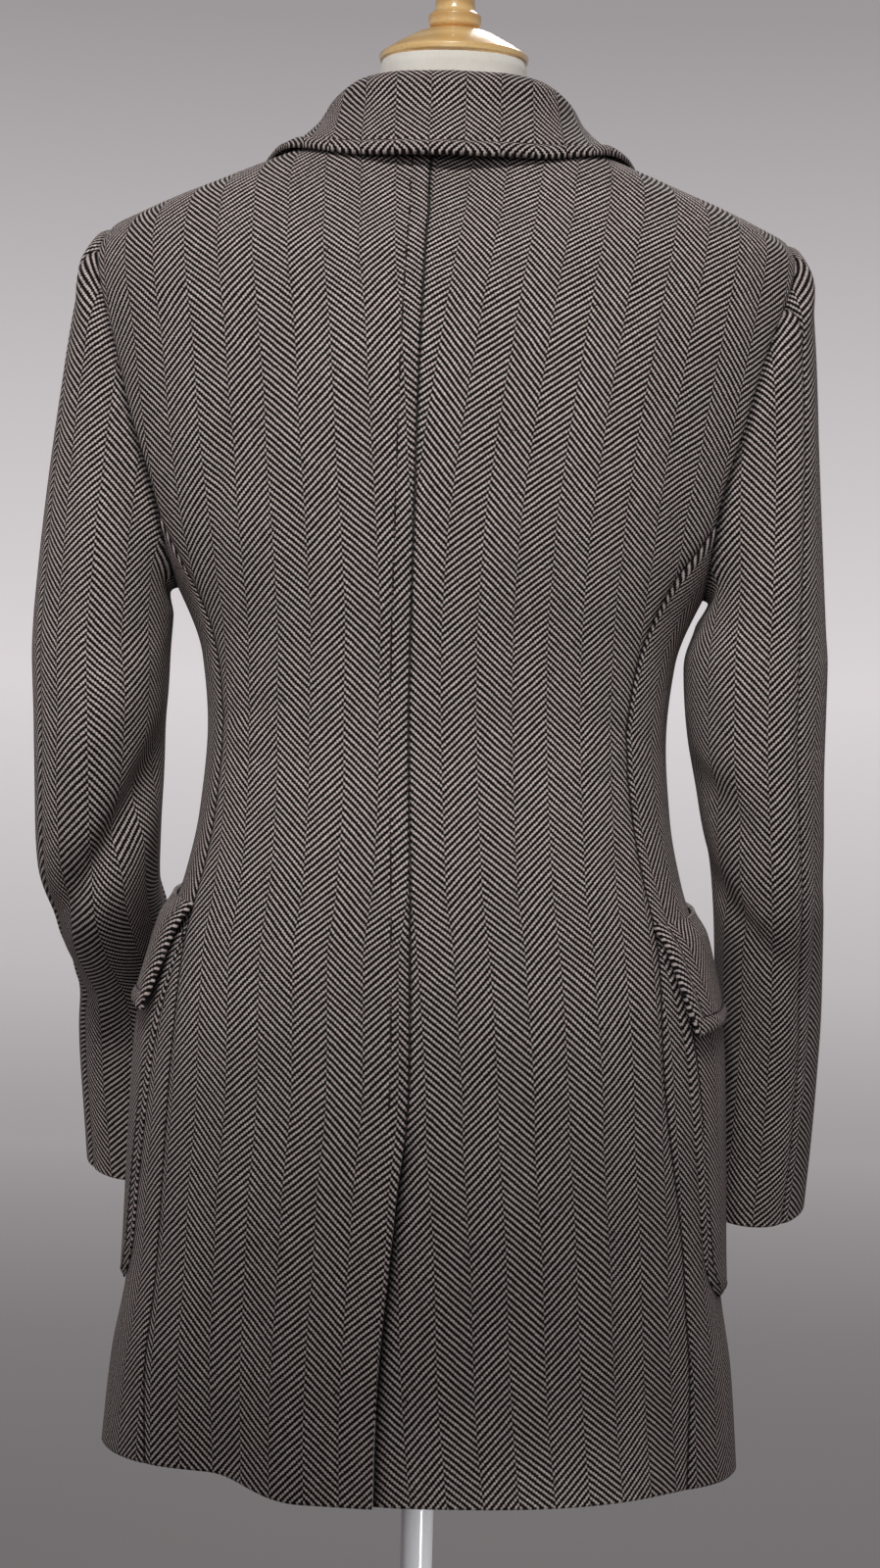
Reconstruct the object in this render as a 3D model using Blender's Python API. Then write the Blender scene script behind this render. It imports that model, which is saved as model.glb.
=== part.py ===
"""A waisted double-breasted overcoat on a dress form, as the solids it is made of.

Metres, +Z up, the floor at z = 0 under the pole. The coat faces -Y, and the wearer's left is +X.
A point of the body is given by an angle round it (0 at the left side, 90 degrees at the centre back)
and a height. A point of a sleeve is given by an angle round it (0 outwards, 90 degrees to the back)
and a station down it. Every cloth wall is a grid on one of these surfaces, moved in by the cloth.
"""

import math

import bmesh
import bpy
import numpy as np

CLOTH = 0.0024
SEAM_GAP = 0.0003
LAYER = 0.0038
LAPEL_LIFT = 0.0046
STEP = 1e-4
HALVINGS = 40

HEM_Z = 0.558
VENT_TOP_Z = 0.787
BREAK_Z = 1.130
JOIN_Z = 1.140
SHOULDER_Z = 1.318
NECK_Z = 1.378

ARMHOLE_BOTTOM_Z = 1.097
ARMHOLE_POWER = 2.6
ARMHOLE_SHRINK = 0.0010
ARMHOLE_BACK = {"left": 0.057, "right": 0.067}
ARMHOLE_FRONT = {"left": 0.064, "right": 0.058}

RING_FULLNESS = 0.045
SHOULDER_FULLNESS = 0.075
FULLER_FROM_Z = 1.200
LESS_FULL_FROM_Z = 1.348
FRONT_LAP = 0.065
NECK_SIDE_X = 0.055
LAP_RAMP = 0.050
LAP_FULL = 0.026
VENT_UNDERLAP = 0.040
LAPEL_TIP_X = 0.128
LAPEL_TIP_Z = 1.285
LAPEL_BOW = 0.88
LAPEL_BOTTOM_Z = {"left": 1.209, "right": 1.140}
LAPEL_TOP_Z = 1.341
LAPEL_INSET = 0.0015
UNDER_LAPEL_INSET = 0.0040
GORGE_TOP_X = 0.046
GORGE_TOP_Z = 1.346
BUTTON_X = 0.046
BUTTON_ROWS = (1.105, 1.010, 0.915)
BUTTON_RADIUS = 0.0125
BUTTON_DEPTH = 0.0046
BUTTON_SHANK = 0.0026
BUTTON_EDGE = 0.0012
BUTTON_RIM = 0.0030

BODY = np.array(
    [
        (0.558, 0.1970, 0.1370, 0.1380),
        (0.620, 0.1920, 0.1350, 0.1350),
        (0.680, 0.1835, 0.1320, 0.1310),
        (0.760, 0.1810, 0.1290, 0.1280),
        (0.820, 0.1785, 0.1260, 0.1250),
        (0.880, 0.1668, 0.1170, 0.1180),
        (0.920, 0.1540, 0.1090, 0.1110),
        (0.960, 0.1460, 0.1010, 0.1070),
        (1.010, 0.1424, 0.0960, 0.1050),
        (1.055, 0.1466, 0.0990, 0.1110),
        (1.095, 0.1620, 0.1060, 0.1210),
        (1.120, 0.1780, 0.1095, 0.1250),
        (1.160, 0.1960, 0.1135, 0.1280),
        (1.214, 0.2145, 0.1170, 0.1250),
        (1.286, 0.2215, 0.1095, 0.0950),
        (1.318, 0.2100, 0.1000, 0.0780),
        (1.327, 0.1880, 0.0960, 0.0735),
        (1.339, 0.1570, 0.0900, 0.0680),
        (1.351, 0.1300, 0.0835, 0.0630),
        (1.365, 0.1000, 0.0740, 0.0580),
        (1.380, 0.0720, 0.0600, 0.0520),
    ],
    dtype=[("z", float), ("half", float), ("back", float), ("front", float)],
)

FLUTES = np.array(
    [
        (52.0, 9.0, -0.0100, 0.76),
        (70.0, 9.0, 0.0040, 0.72),
        (118.0, 12.0, 0.0030, 0.74),
        (141.0, 10.0, -0.0040, 0.72),
        (-60.0, 11.0, -0.0040, 0.74),
        (-122.0, 11.0, -0.0040, 0.74),
    ],
    dtype=[("angle", float), ("spread", float), ("depth", float), ("top", float)],
)

HEM_LIFTS = np.array(
    [(16.0, 34.0, 20.0, 0.0120, 0.680), (158.0, 14.0, 44.0, 0.0040, 0.680)],
    dtype=[("angle", float), ("spread", float), ("fade", float), ("height", float), ("top", float)],
)

CENTRE_SEAM = np.array(
    [(0.558, 0.026), (0.590, 0.026), (0.730, 0.017), (0.800, 0.011), (0.900, 0.013),
     (1.040, 0.017), (1.210, 0.016), (1.380, 0.011)],
    dtype=[("z", float), ("x", float)],
)

SIDE_SEAMS = np.array(
    [
        (0.558, 36.5, 36.5, 36.0),
        (0.670, 32.0, 34.0, 36.0),
        (0.820, 33.0, 41.0, 36.0),
        (0.907, 27.5, 37.0, 36.0),
        (1.010, 26.5, 39.0, 35.0),
        (1.095, 26.5, 36.0, 33.0),
    ],
    dtype=[("z", float), ("left", float), ("right", float), ("front", float)],
)

SLEEVE_COLUMNS = [
    ("z", float), ("x", float), ("y", float), ("across", float), ("deep", float), ("lean", float),
]
SLEEVES = {
    "left": np.array(
        [
            (1.080, 0.2090, 0.000, 0.0430, 0.063, 0),
            (1.055, 0.2099, 0.000, 0.0427, 0.063, 0),
            (1.010, 0.2087, 0.003, 0.0413, 0.062, 0),
            (0.964, 0.2091, 0.000, 0.0393, 0.060, 14),
            (0.932, 0.2096, -0.013, 0.0382, 0.058, 30),
            (0.903, 0.2064, -0.042, 0.0340, 0.056, 44),
            (0.876, 0.2000, -0.077, 0.0325, 0.053, 46),
            (0.848, 0.1975, -0.098, 0.0325, 0.051, 38),
            (0.806, 0.1968, -0.116, 0.0325, 0.050, 24),
            (0.768, 0.1948, -0.128, 0.0325, 0.048, 18),
            (0.730, 0.1920, -0.139, 0.0330, 0.047, 16),
        ],
        dtype=SLEEVE_COLUMNS,
    ),
    "right": np.array(
        [
            (1.080, 0.1994, 0.000, 0.0404, 0.063, 0),
            (1.055, 0.1970, 0.000, 0.0445, 0.063, 0),
            (1.010, 0.1984, -0.002, 0.0429, 0.062, 4),
            (0.979, 0.2020, -0.004, 0.0396, 0.061, 6),
            (0.948, 0.2058, -0.010, 0.0372, 0.060, 10),
            (0.918, 0.2095, -0.018, 0.0346, 0.058, 14),
            (0.888, 0.2125, -0.034, 0.0342, 0.056, 18),
            (0.827, 0.2155, -0.060, 0.0340, 0.052, 20),
            (0.765, 0.2140, -0.078, 0.0340, 0.049, 17),
            (0.715, 0.2110, -0.091, 0.0345, 0.047, 15),
        ],
        dtype=SLEEVE_COLUMNS,
    ),
}
CAP_STATIONS = (0.0, 0.08, 0.2, 0.36, 0.55, 0.78)
CAP_LEAVE = {"out": 0.013, "more_on_top": 0.003, "up_on_top": 0.002}
CAP_ARRIVE = {"length": 0.063, "more_on_top": 0.055, "after_biceps": 1.02}
CAP_LEAN = {"left": 0.04, "right": 0.0}
HIND_SEAM = {"left": 36.0, "right": 60.0}
FORE_SEAM = {"left": 196.0, "right": 216.0}
CREASE_SLANT = 60.0
CREASE_COLUMNS = [
    ("angle", float), ("station", float), ("spread", float), ("run", float), ("depth", float),
]
SLEEVE_CREASES = {
    "left": np.array(
        [
            (138.0, 3.8, 40.0, 0.45, -0.006),
            (96.0, 4.6, 50.0, 0.42, -0.009),
            (105.0, 2.8, 48.0, 0.60, 0.004),
            (40.0, 7.6, 40.0, 0.35, -0.003),
        ],
        dtype=CREASE_COLUMNS,
    ),
    "right": np.array(
        [
            (130.0, 4.2, 50.0, 0.55, -0.004),
            (120.0, 6.4, 60.0, 0.45, -0.004),
            (80.0, 5.2, 50.0, 0.60, 0.002),
        ],
        dtype=CREASE_COLUMNS,
    ),
}

COLLAR = np.array(
    [
        (0.0, 0.000, 0.0650, 1.4095, 0.000, 0.0980, 1.3545),
        (1.0, 0.030, 0.0600, 1.4095, 0.043, 0.0900, 1.3550),
        (2.0, 0.054, 0.0440, 1.4080, 0.082, 0.0660, 1.3560),
        (3.0, 0.068, 0.0120, 1.4020, 0.107, 0.0230, 1.3610),
        (4.0, 0.072, -0.0180, 1.3920, 0.118, -0.0200, 1.3600),
        (5.0, 0.066, -0.0440, 1.3740, 0.122, -0.0520, 1.3420),
        (6.0, 0.052, -0.0650, 1.3500, 0.108, -0.0740, 1.3120),
    ],
    dtype=[("station", float), ("roll_x", float), ("roll_y", float), ("roll_z", float),
           ("edge_x", float), ("edge_y", float), ("edge_z", float)],
)
COLLAR_SECTION = np.array(
    [
        (0.00, 0.00, -0.0060, -0.0130),
        (0.16, 0.00, -0.0052, -0.0040),
        (0.30, 0.00, 0.0000, 0.0000),
        (0.44, 0.07, 0.0045, -0.0020),
        (0.72, 0.48, -0.0020, 0.0000),
        (1.00, 1.00, 0.0000, 0.0000),
    ],
    dtype=[("across", float), ("fall", float), ("out", float), ("up", float)],
)
COLLAR_CLEAR = 0.0048
COLLAR_END_SAG = 0.006
SAG_FROM_STATION = 5.0
STAND = {"ends": 3.9, "drop": 0.0085, "forward": 0.0040, "above_neck": 0.0006, "inside_neck": 0.985}

FLAP = {
    "length": 76.0, "height": 0.066, "rise": 0.016, "lean": 3.5,
    "stand": 0.0070, "stands_within": 0.25, "flare": 0.006, "flares_within": 0.35,
}
FLAP_REAR = {"left": (29.5, 0.903), "right": (38.5, 0.897)}
POCKET = {
    "length": 81.0, "top": 0.884, "bottom": 0.670, "rear_lean": 13.0, "fore_lean": 6.5,
    "corner": 0.030, "corner_turn": 0.97, "radius": 0.15,
}
POCKET_DROPS = np.array([0.0, 0.2, 0.4, 0.6, 0.78, 0.86, 0.92, 0.96, 0.985, 1.0])
POCKET_REAR = {"left": 29.0, "right": 37.5}

TORSO = np.array(
    [
        (0.800, 0.1560, 0.1060, 0.1040),
        (0.850, 0.1580, 0.1040, 0.1040),
        (0.900, 0.1430, 0.0940, 0.0980),
        (0.950, 0.1310, 0.0850, 0.0920),
        (1.005, 0.1270, 0.0800, 0.0890),
        (1.055, 0.1310, 0.0830, 0.0940),
        (1.100, 0.1420, 0.0890, 0.1040),
        (1.160, 0.1580, 0.0960, 0.1090),
        (1.220, 0.1680, 0.0980, 0.1020),
        (1.275, 0.1680, 0.0930, 0.0800),
        (1.300, 0.1580, 0.0870, 0.0680),
        (1.325, 0.1300, 0.0780, 0.0580),
        (1.345, 0.0950, 0.0660, 0.0520),
        (1.362, 0.0640, 0.0530, 0.0470),
        (1.385, 0.0510, 0.0480, 0.0455),
        (1.4260, 0.0450, 0.0450, 0.0450),
    ],
    dtype=[("z", float), ("half", float), ("back", float), ("front", float)],
)
POLE_RADIUS = 0.0100
BASE_RADIUS = 0.180
BASE_DEPTH = 0.010
BASE_EDGE = 0.003
BASE_FOOT_EDGE = 0.002
SOCKET_RADIUS = 0.020
SOCKET_TOP_Z = 0.045
CAP_PROFILE = np.array(
    [(0.0000, 1.4264), (0.0440, 1.4264), (0.0466, 1.4280), (0.0466, 1.4305), (0.0440, 1.4330),
     (0.0330, 1.4400), (0.0225, 1.4455), (0.0150, 1.4475), (0.0000, 1.4475)]
)
FINIAL_PROFILE = np.array(
    [(0.0000, 1.4479), (0.0135, 1.4479), (0.0165, 1.4510), (0.0165, 1.4560), (0.0130, 1.4595),
     (0.0122, 1.4660), (0.0140, 1.4760), (0.0185, 1.4880), (0.0190, 1.4970), (0.0150, 1.5060),
     (0.0070, 1.5110), (0.0000, 1.5120)]
)

SKIRT_LEVELS = [
    HEM_Z, 0.600, 0.640, 0.670, 0.700, 0.745, VENT_TOP_Z, 0.830, 0.870, 0.905, 0.940, 0.975, 1.010,
]
BODICE_LEVELS = [1.045, 1.075, 1.105, BREAK_Z, JOIN_Z]
SHOULDER_LEVELS = [1.3265, 1.338, 1.351, 1.365, NECK_Z]
TORSO_LEVELS = np.linspace(0.83, 1.25, 9)
TORSO_SHOULDER_ROWS = 7
ARMHOLE_ROWS = 7
SIDE_BEND = 0.015
COLUMNS = {
    "back": 9, "vent": 4, "side": 9, "front": 12, "lapel": 9, "pocket": 11, "flap": 12,
    "top_sleeve": 13, "under_sleeve": 10,
}
LAPEL_ROWS = (8, 6)
FLAP_ROWS = 6
COLLAR_GRID = (31, 11)
STAND_GRID = (21, 3)
SIDES_ROUND = {"torso": 28, "cap": 32, "finial": 20, "pole": 20, "base": 32, "button": 14}

CLOTH_COLOUR = (0.105, 0.088, 0.084)
BUTTON_COLOUR = (0.028, 0.018, 0.014)
JERSEY_COLOUR = (0.78, 0.74, 0.66)
WOOD_COLOUR = (0.56, 0.34, 0.13)
STEEL_COLOUR = (0.78, 0.78, 0.80)


def clear_scene():
    for old in list(bpy.data.objects):
        bpy.data.objects.remove(old)


def make_material(name, colour, roughness=0.9, metallic=0.0):
    material = bpy.data.materials.new(name)
    material.use_nodes = True
    shader = material.node_tree.nodes["Principled BSDF"]
    shader.inputs["Base Color"].default_value = (*colour, 1.0)
    shader.inputs["Roughness"].default_value = roughness
    shader.inputs["Metallic"].default_value = metallic
    return material


def smooth(knots, values, at):
    """A smooth curve through the values at the knots, which never overshoots them."""
    step = np.diff(knots)
    rise = np.diff(values) / step
    slope = np.zeros(len(values))
    slope[0] = rise[0]
    slope[-1] = rise[-1]
    before = rise[:-1]
    after = rise[1:]
    same = before * after > 0
    slope[1:-1][same] = (2 * before * after)[same] / (before + after)[same]
    place = np.clip(np.searchsorted(knots, at, side="right") - 1, 0, len(knots) - 2)
    t = (at - knots[place]) / step[place]
    return (
        values[place] * (1 + 2 * t) * (1 - t) ** 2
        + slope[place] * step[place] * t * (1 - t) ** 2
        + values[place + 1] * t * t * (3 - 2 * t)
        + slope[place + 1] * step[place] * t * t * (t - 1)
    )


def ease(t):
    t = np.clip(t, 0.0, 1.0)
    return t * t * (3 - 2 * t)


def turn_from(angle, degrees):
    """How far an angle lies from a number of degrees, from -180 to 180."""
    return np.mod(np.degrees(angle) - degrees + 180, 360) - 180


def fullness(angle, z):
    """How much wider than an ellipse a ring is between its axes: most of all at the shoulder."""
    rise = ease((z - FULLER_FROM_Z) / (SHOULDER_Z - FULLER_FROM_Z))
    fall = ease((z - LESS_FULL_FROM_Z) / (NECK_Z - LESS_FULL_FROM_Z))
    return 1 + (RING_FULLNESS + SHOULDER_FULLNESS * rise * (1 - fall)) * np.sin(2 * angle) ** 2


def ring_point(table, angle, z):
    """A point of a body ring: half an ellipse for the back, half for the front, a little full between."""
    half = smooth(table["z"], table["half"], z)
    back = smooth(table["z"], table["back"], z)
    front = smooth(table["z"], table["front"], z)
    depth = np.where(np.sin(angle) >= 0, back, front)
    full = fullness(angle, z)
    return np.stack([half * np.cos(angle) * full, depth * np.sin(angle) * full, z + 0 * angle], axis=-1)


def flutes(angle, z):
    """The flutes of the skirt, as a share of the ring's size, deepest at the hem."""
    total = 0 * angle
    for flute in FLUTES:
        depth = flute["depth"] * ease((flute["top"] - z) / (flute["top"] - HEM_Z))
        total = total + depth * np.exp(-((turn_from(angle, flute["angle"]) / flute["spread"]) ** 2))
    return total / BODY["half"][0]


def hem_lift(angle, z):
    """How far the hem rides up at each side, more at the wearer's left."""
    total = 0 * angle
    for lift in HEM_LIFTS:
        round_side = 1 - ease((np.abs(turn_from(angle, lift["angle"])) - lift["spread"]) / lift["fade"])
        total = total + lift["height"] * round_side * ease((lift["top"] - z) / (lift["top"] - HEM_Z))
    return total


def body(angle, z):
    point = ring_point(BODY, angle, z)
    point[..., :2] *= (1 + flutes(angle, z))[..., None]
    point[..., 2] += hem_lift(angle, z)
    return point


def surface_normal(surface, p, q):
    along_p = surface(p + STEP, q) - surface(p - STEP, q)
    along_q = surface(p, q + STEP) - surface(p, q - STEP)
    normal = np.cross(along_p, along_q)
    return normal / np.linalg.norm(normal, axis=-1, keepdims=True)


def raised(surface, p, q, lift):
    """The surface's points moved out along its normal."""
    return surface(p, q) + surface_normal(surface, p, q) * np.broadcast_to(lift, p.shape)[..., None]


def angle_at_x(x, z):
    """The angle, from 0 to half a turn, at which the body ring at a height has this x, by halving."""
    share = x / smooth(BODY["z"], BODY["half"], z)
    low = np.zeros(np.shape(share))
    high = np.full(np.shape(share), math.pi)
    for _ in range(HALVINGS):
        middle = (low + high) / 2
        past = np.cos(middle) * fullness(middle, z) < share
        high = np.where(past, middle, high)
        low = np.where(past, low, middle)
    return (low + high) / 2


def angle_at_depth(y, z, face):
    """The angle, up to a quarter turn, at which the body ring at a height is this deep, by halving."""
    share = y / smooth(BODY["z"], BODY[face], z)
    low = np.zeros(np.shape(share))
    high = np.full(np.shape(share), math.pi / 2)
    for _ in range(HALVINGS):
        middle = (low + high) / 2
        past = np.sin(middle) * fullness(middle, z) > share
        high = np.where(past, middle, high)
        low = np.where(past, low, middle)
    return (low + high) / 2


def set_side(angle, side):
    """An angle measured from the wearer's left side, or the same from the right side."""
    return angle if side == "left" else math.pi - angle


def armhole_depth(z, width):
    centre = (SHOULDER_Z + ARMHOLE_BOTTOM_Z) / 2
    reach = (SHOULDER_Z - ARMHOLE_BOTTOM_Z) / 2
    share = np.clip(np.abs(z - centre) / reach, 0.0, 1.0) ** ARMHOLE_POWER
    return width * (1 - share) ** (1 / ARMHOLE_POWER)


def armhole_angle(z, side, face):
    """How far round from the side the armhole's edge lies at a height."""
    width = (ARMHOLE_BACK if face == "back" else ARMHOLE_FRONT)[side]
    return angle_at_depth(armhole_depth(z, width), z, face)


def outer_edge(z, side, face):
    """The outer edge of a back or front: up the side seam, round the armhole and along the shoulder."""
    column = side if face == "back" else "front"
    join = armhole_angle(np.array([JOIN_Z]), side, face)
    knots = np.append(SIDE_SEAMS["z"], JOIN_Z)
    seam = smooth(knots, np.append(np.radians(SIDE_SEAMS[column]), join), np.minimum(z, JOIN_Z))
    armhole = armhole_angle(np.clip(z, JOIN_Z, SHOULDER_Z), side, face)
    return np.where(z < JOIN_Z, seam, np.where(z < SHOULDER_Z, armhole, 0.0))


def inset(surface, p, q, distance):
    """The change of p that moves a point this far along the surface."""
    speed = np.linalg.norm(surface(p + STEP, q) - surface(p - STEP, q), axis=-1) / (2 * STEP)
    return distance / speed


def build_mesh(name, points, faces, material):
    mesh = bpy.data.meshes.new(name)
    mesh.from_pydata(points.reshape(-1, 3).tolist(), [], faces)
    shell = bmesh.new()
    shell.from_mesh(mesh)
    bmesh.ops.recalc_face_normals(shell, faces=shell.faces)
    shell.to_mesh(mesh)
    shell.free()
    thing = bpy.data.objects.new(name, mesh)
    thing.data.materials.append(material)
    bpy.context.scene.collection.objects.link(thing)
    return thing


def wall(name, surface, p, q, material, lift=0.0, thickness=CLOTH):
    """A closed cloth wall: a grid on a surface, the same grid moved in by the cloth, and a rim."""
    outer = raised(surface, p, q, lift)
    inner = raised(surface, p, q, np.asarray(lift) - thickness)
    rows, columns = p.shape
    index = np.arange(2 * rows * columns).reshape(2, rows, columns)
    faces = []
    for layer in (0, 1):
        sheet = index[layer]
        corners = np.stack([sheet[:-1, :-1], sheet[:-1, 1:], sheet[1:, 1:], sheet[1:, :-1]], axis=-1)
        corners = corners.reshape(-1, 4)
        first = corners[:, [0, 1, 2]]
        second = corners[:, [0, 2, 3]]
        faces += np.concatenate([first, second])[:, :: 1 - 2 * layer].tolist()
    loop = [index[:, 0, c] for c in range(columns - 1)]
    loop += [index[:, r, -1] for r in range(rows - 1)]
    loop += [index[:, -1, c] for c in range(columns - 1, 0, -1)]
    loop += [index[:, r, 0] for r in range(rows - 1, 0, -1)]
    for here, there in zip(loop, loop[1:] + loop[:1]):
        faces.append([int(there[0]), int(here[0]), int(here[1]), int(there[1])])
    return build_mesh(name, np.concatenate([outer, inner]), faces, material)


def body_levels():
    """The heights that every body panel shares, so that two edges of a seam have the same corners."""
    turn = np.radians(np.linspace(0.0, 90.0, ARMHOLE_ROWS + 1))[1:]
    armhole = list(JOIN_Z + (SHOULDER_Z - JOIN_Z) * np.sin(turn))
    return np.array(SKIRT_LEVELS + BODICE_LEVELS + armhole + SHOULDER_LEVELS)


def panel_grid(first, last, z, columns):
    """A grid of angles between two edges given at each height, half a seam gap inside both."""
    sign = np.sign(last - first)
    first = first + sign * inset(body, first, z, SEAM_GAP / 2)
    last = last - sign * inset(body, last, z, SEAM_GAP / 2)
    share = np.linspace(0.0, 1.0, columns)
    return first[:, None] + (last - first)[:, None] * share, np.repeat(z[:, None], columns, axis=1)


def centre_back(z):
    return angle_at_x(smooth(CENTRE_SEAM["z"], CENTRE_SEAM["x"], z), z)


def build_backs(material):
    z = body_levels()
    seam = centre_back(z)
    for side in ("left", "right"):
        outer = set_side(outer_edge(z, side, "back"), side)
        angle, height = panel_grid(seam, outer, z, COLUMNS["back"])
        wall(f"back_{side}", body, angle, height, material)
    low = z[z <= VENT_TOP_Z + 1e-6]
    seam = centre_back(low)
    under = seam - inset(body, seam, low, VENT_UNDERLAP)
    angle, height = panel_grid(seam, under, low, COLUMNS["vent"])
    wall("vent_underlap", body, angle, height, material, lift=-LAYER)


def armhole_bottom(share, side):
    """The height at which a line up the side panel, at this share of its width, meets the armhole."""
    low = np.full(share.shape, ARMHOLE_BOTTOM_Z + 1e-5)
    high = np.full(share.shape, JOIN_Z)
    for _ in range(HALVINGS):
        z = (low + high) / 2
        angle = side_angle(share, z, side)
        y = ring_point(BODY, angle, z)[..., 1]
        edge = np.where(
            y >= 0, armhole_depth(z, ARMHOLE_BACK[side]), armhole_depth(z, ARMHOLE_FRONT[side])
        )
        inside = np.abs(y) < edge
        high = np.where(inside, z, high)
        low = np.where(inside, low, z)
    return (low + high) / 2


def side_angle(share, z, side):
    """The angle from the wearer's side at a share of the side panel's width, back seam to front seam."""
    rear = outer_edge(z, side, "back")
    fore = -outer_edge(z, side, "front")
    return rear + (fore - rear) * share


def build_sides(material):
    levels = body_levels()
    levels = levels[levels <= JOIN_Z + 1e-6]
    share = np.linspace(0.0, 1.0, COLUMNS["side"])
    for side in ("left", "right"):
        top = armhole_bottom(share, side)
        top[[0, -1]] = JOIN_Z
        low = levels[levels < ARMHOLE_BOTTOM_Z - SIDE_BEND]
        rows = [np.full(share.shape, z) for z in low]
        near = levels[levels > ARMHOLE_BOTTOM_Z - SIDE_BEND]
        for z in near:
            reach = (z - low[-1]) / (JOIN_Z - low[-1])
            rows.append(low[-1] + (top - low[-1]) * reach)
        height = np.array(rows)
        angle = side_angle(share[None, :], height, side)
        angle[:, 0] -= inset(body, angle[:, 0], height[:, 0], SEAM_GAP / 2)
        angle[:, -1] += inset(body, angle[:, -1], height[:, -1], SEAM_GAP / 2)
        wall(f"side_{side}", body, set_side(angle, side), height, material)


def front_edge(z):
    """How far past the centre a front reaches: its lap, then along the roll line to the neck."""
    up = np.clip((z - BREAK_Z) / (NECK_Z - BREAK_Z), 0.0, 1.0)
    return FRONT_LAP - (FRONT_LAP + NECK_SIDE_X) * up


def front_angle(x, z):
    return -angle_at_x(x, z)


def over_lift(angle, z):
    """How far the upper front stands out, where the under front lies beneath it."""
    x = body(angle, z)[..., 0]
    return LAYER * ease((x + front_edge(z) + LAP_RAMP) / (LAP_RAMP - LAP_FULL))


def build_fronts(material):
    z = body_levels()
    for side, way in (("left", 1), ("right", -1)):
        outer = set_side(-outer_edge(z, side, "front"), side)
        outer = np.where(outer > math.pi / 2, outer - 2 * math.pi, outer)
        angle, height = panel_grid(outer, front_angle(-way * front_edge(z), z), z, COLUMNS["front"])
        lift = over_lift(angle, height) if side == "right" else 0.0
        wall(f"front_{side}", body, angle, height, material, lift=lift)


def lapel_edge(z):
    """The lapel's outer edge, as a distance from the centre line: up to its corner, then the gorge."""
    up = np.clip((z - BREAK_Z) / (LAPEL_TIP_Z - BREAK_Z), 0.0, 1.0)
    rising = -FRONT_LAP + (LAPEL_TIP_X + FRONT_LAP) * up**LAPEL_BOW
    over = np.clip((z - LAPEL_TIP_Z) / (GORGE_TOP_Z - LAPEL_TIP_Z), 0.0, 1.0)
    return np.where(z < LAPEL_TIP_Z, rising, LAPEL_TIP_X + (GORGE_TOP_X - LAPEL_TIP_X) * over)


def build_lapels(material):
    below, above = LAPEL_ROWS
    for side, way in (("left", 1), ("right", -1)):
        rising = np.linspace(LAPEL_BOTTOM_Z[side], LAPEL_TIP_Z, below)
        z = np.concatenate([rising, np.linspace(LAPEL_TIP_Z, LAPEL_TOP_Z, above)[1:]])
        inner = -front_edge(z) + LAPEL_INSET
        if side == "left":
            inner = np.maximum(inner, front_edge(z) + UNDER_LAPEL_INSET)
        share = np.linspace(0.0, 1.0, COLUMNS["lapel"])
        x = inner[:, None] + (lapel_edge(z) - inner)[:, None] * share
        height = np.repeat(z[:, None], len(share), axis=1)
        angle = front_angle(way * x, height)
        lift = LAPEL_LIFT + (over_lift(angle, height) if side == "right" else 0.0)
        wall(f"lapel_{side}", body, angle, height, material, lift=lift)


def collar_line(name, station):
    """A point of the collar's roll or edge line at a station, mirrored about the centre back."""
    near = np.abs(station)
    x = smooth(COLLAR["station"], COLLAR[name + "_x"], near) * np.sign(station)
    y = smooth(COLLAR["station"], COLLAR[name + "_y"], near)
    z = smooth(COLLAR["station"], COLLAR[name + "_z"], near)
    return np.stack([x, y, z], axis=-1)


def rest_on_body(point):
    """Points pushed out along the body's normal until they clear the coat under the collar."""
    level = np.minimum(point[..., 2], BODY["z"][-1] - 2 * STEP)
    half = smooth(BODY["z"], BODY["half"], level)
    face = np.where(point[..., 1] >= 0, smooth(BODY["z"], BODY["back"], level),
                    smooth(BODY["z"], BODY["front"], level))
    angle = np.arctan2(point[..., 1] / face, point[..., 0] / half)
    normal = surface_normal(body, angle, level)
    height = np.sum((point - body(angle, level)) * normal, axis=-1)
    return point + normal * np.maximum(COLLAR_CLEAR - height, 0.0)[..., None]


def collar(station, across):
    """The collar: from its lip inside the neck, over the roll line and down to its edge."""
    roll = collar_line("roll", station)
    edge = collar_line("edge", station)
    out = edge - roll
    out[..., 2] = 0.0
    out = out / np.linalg.norm(out, axis=-1, keepdims=True)
    section = COLLAR_SECTION
    fall = smooth(section["across"], section["fall"], across)
    shift = smooth(section["across"], section["out"], across)
    rise = smooth(section["across"], section["up"], across)
    point = roll + (edge - roll) * fall[..., None] + out * shift[..., None]
    point[..., 2] += rise
    point[..., 2] -= COLLAR_END_SAG * np.sin(math.pi * fall) * ease(np.abs(station) - SAG_FROM_STATION)
    return rest_on_body(point)


def collar_stand(station, across):
    """The collar stand: a strip from the neck seam up inside the roll of the collar."""
    roll = collar_line("roll", station)
    top = roll - np.array([0.0, 0.0, STAND["drop"]])
    angle = np.radians(90.0) - np.arctan2(roll[..., 0], roll[..., 1] + STAND["forward"])
    neck = ring_point(BODY, angle, np.full(angle.shape, NECK_Z + STAND["above_neck"]))
    neck[..., :2] *= STAND["inside_neck"]
    return neck + (top - neck) * across[..., None]


def build_collar(material):
    ends = COLLAR["station"][-1]
    rows, columns = COLLAR_GRID
    p, q = np.meshgrid(np.linspace(-ends, ends, rows), np.linspace(0.0, 1.0, columns), indexing="ij")
    wall("collar", collar, p, q, material)
    ends = STAND["ends"]
    rows, columns = STAND_GRID
    p, q = np.meshgrid(np.linspace(-ends, ends, rows), np.linspace(0.0, 1.0, columns), indexing="ij")
    wall("collar_stand", collar_stand, p, q, material, lift=CLOTH / 2)


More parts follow.
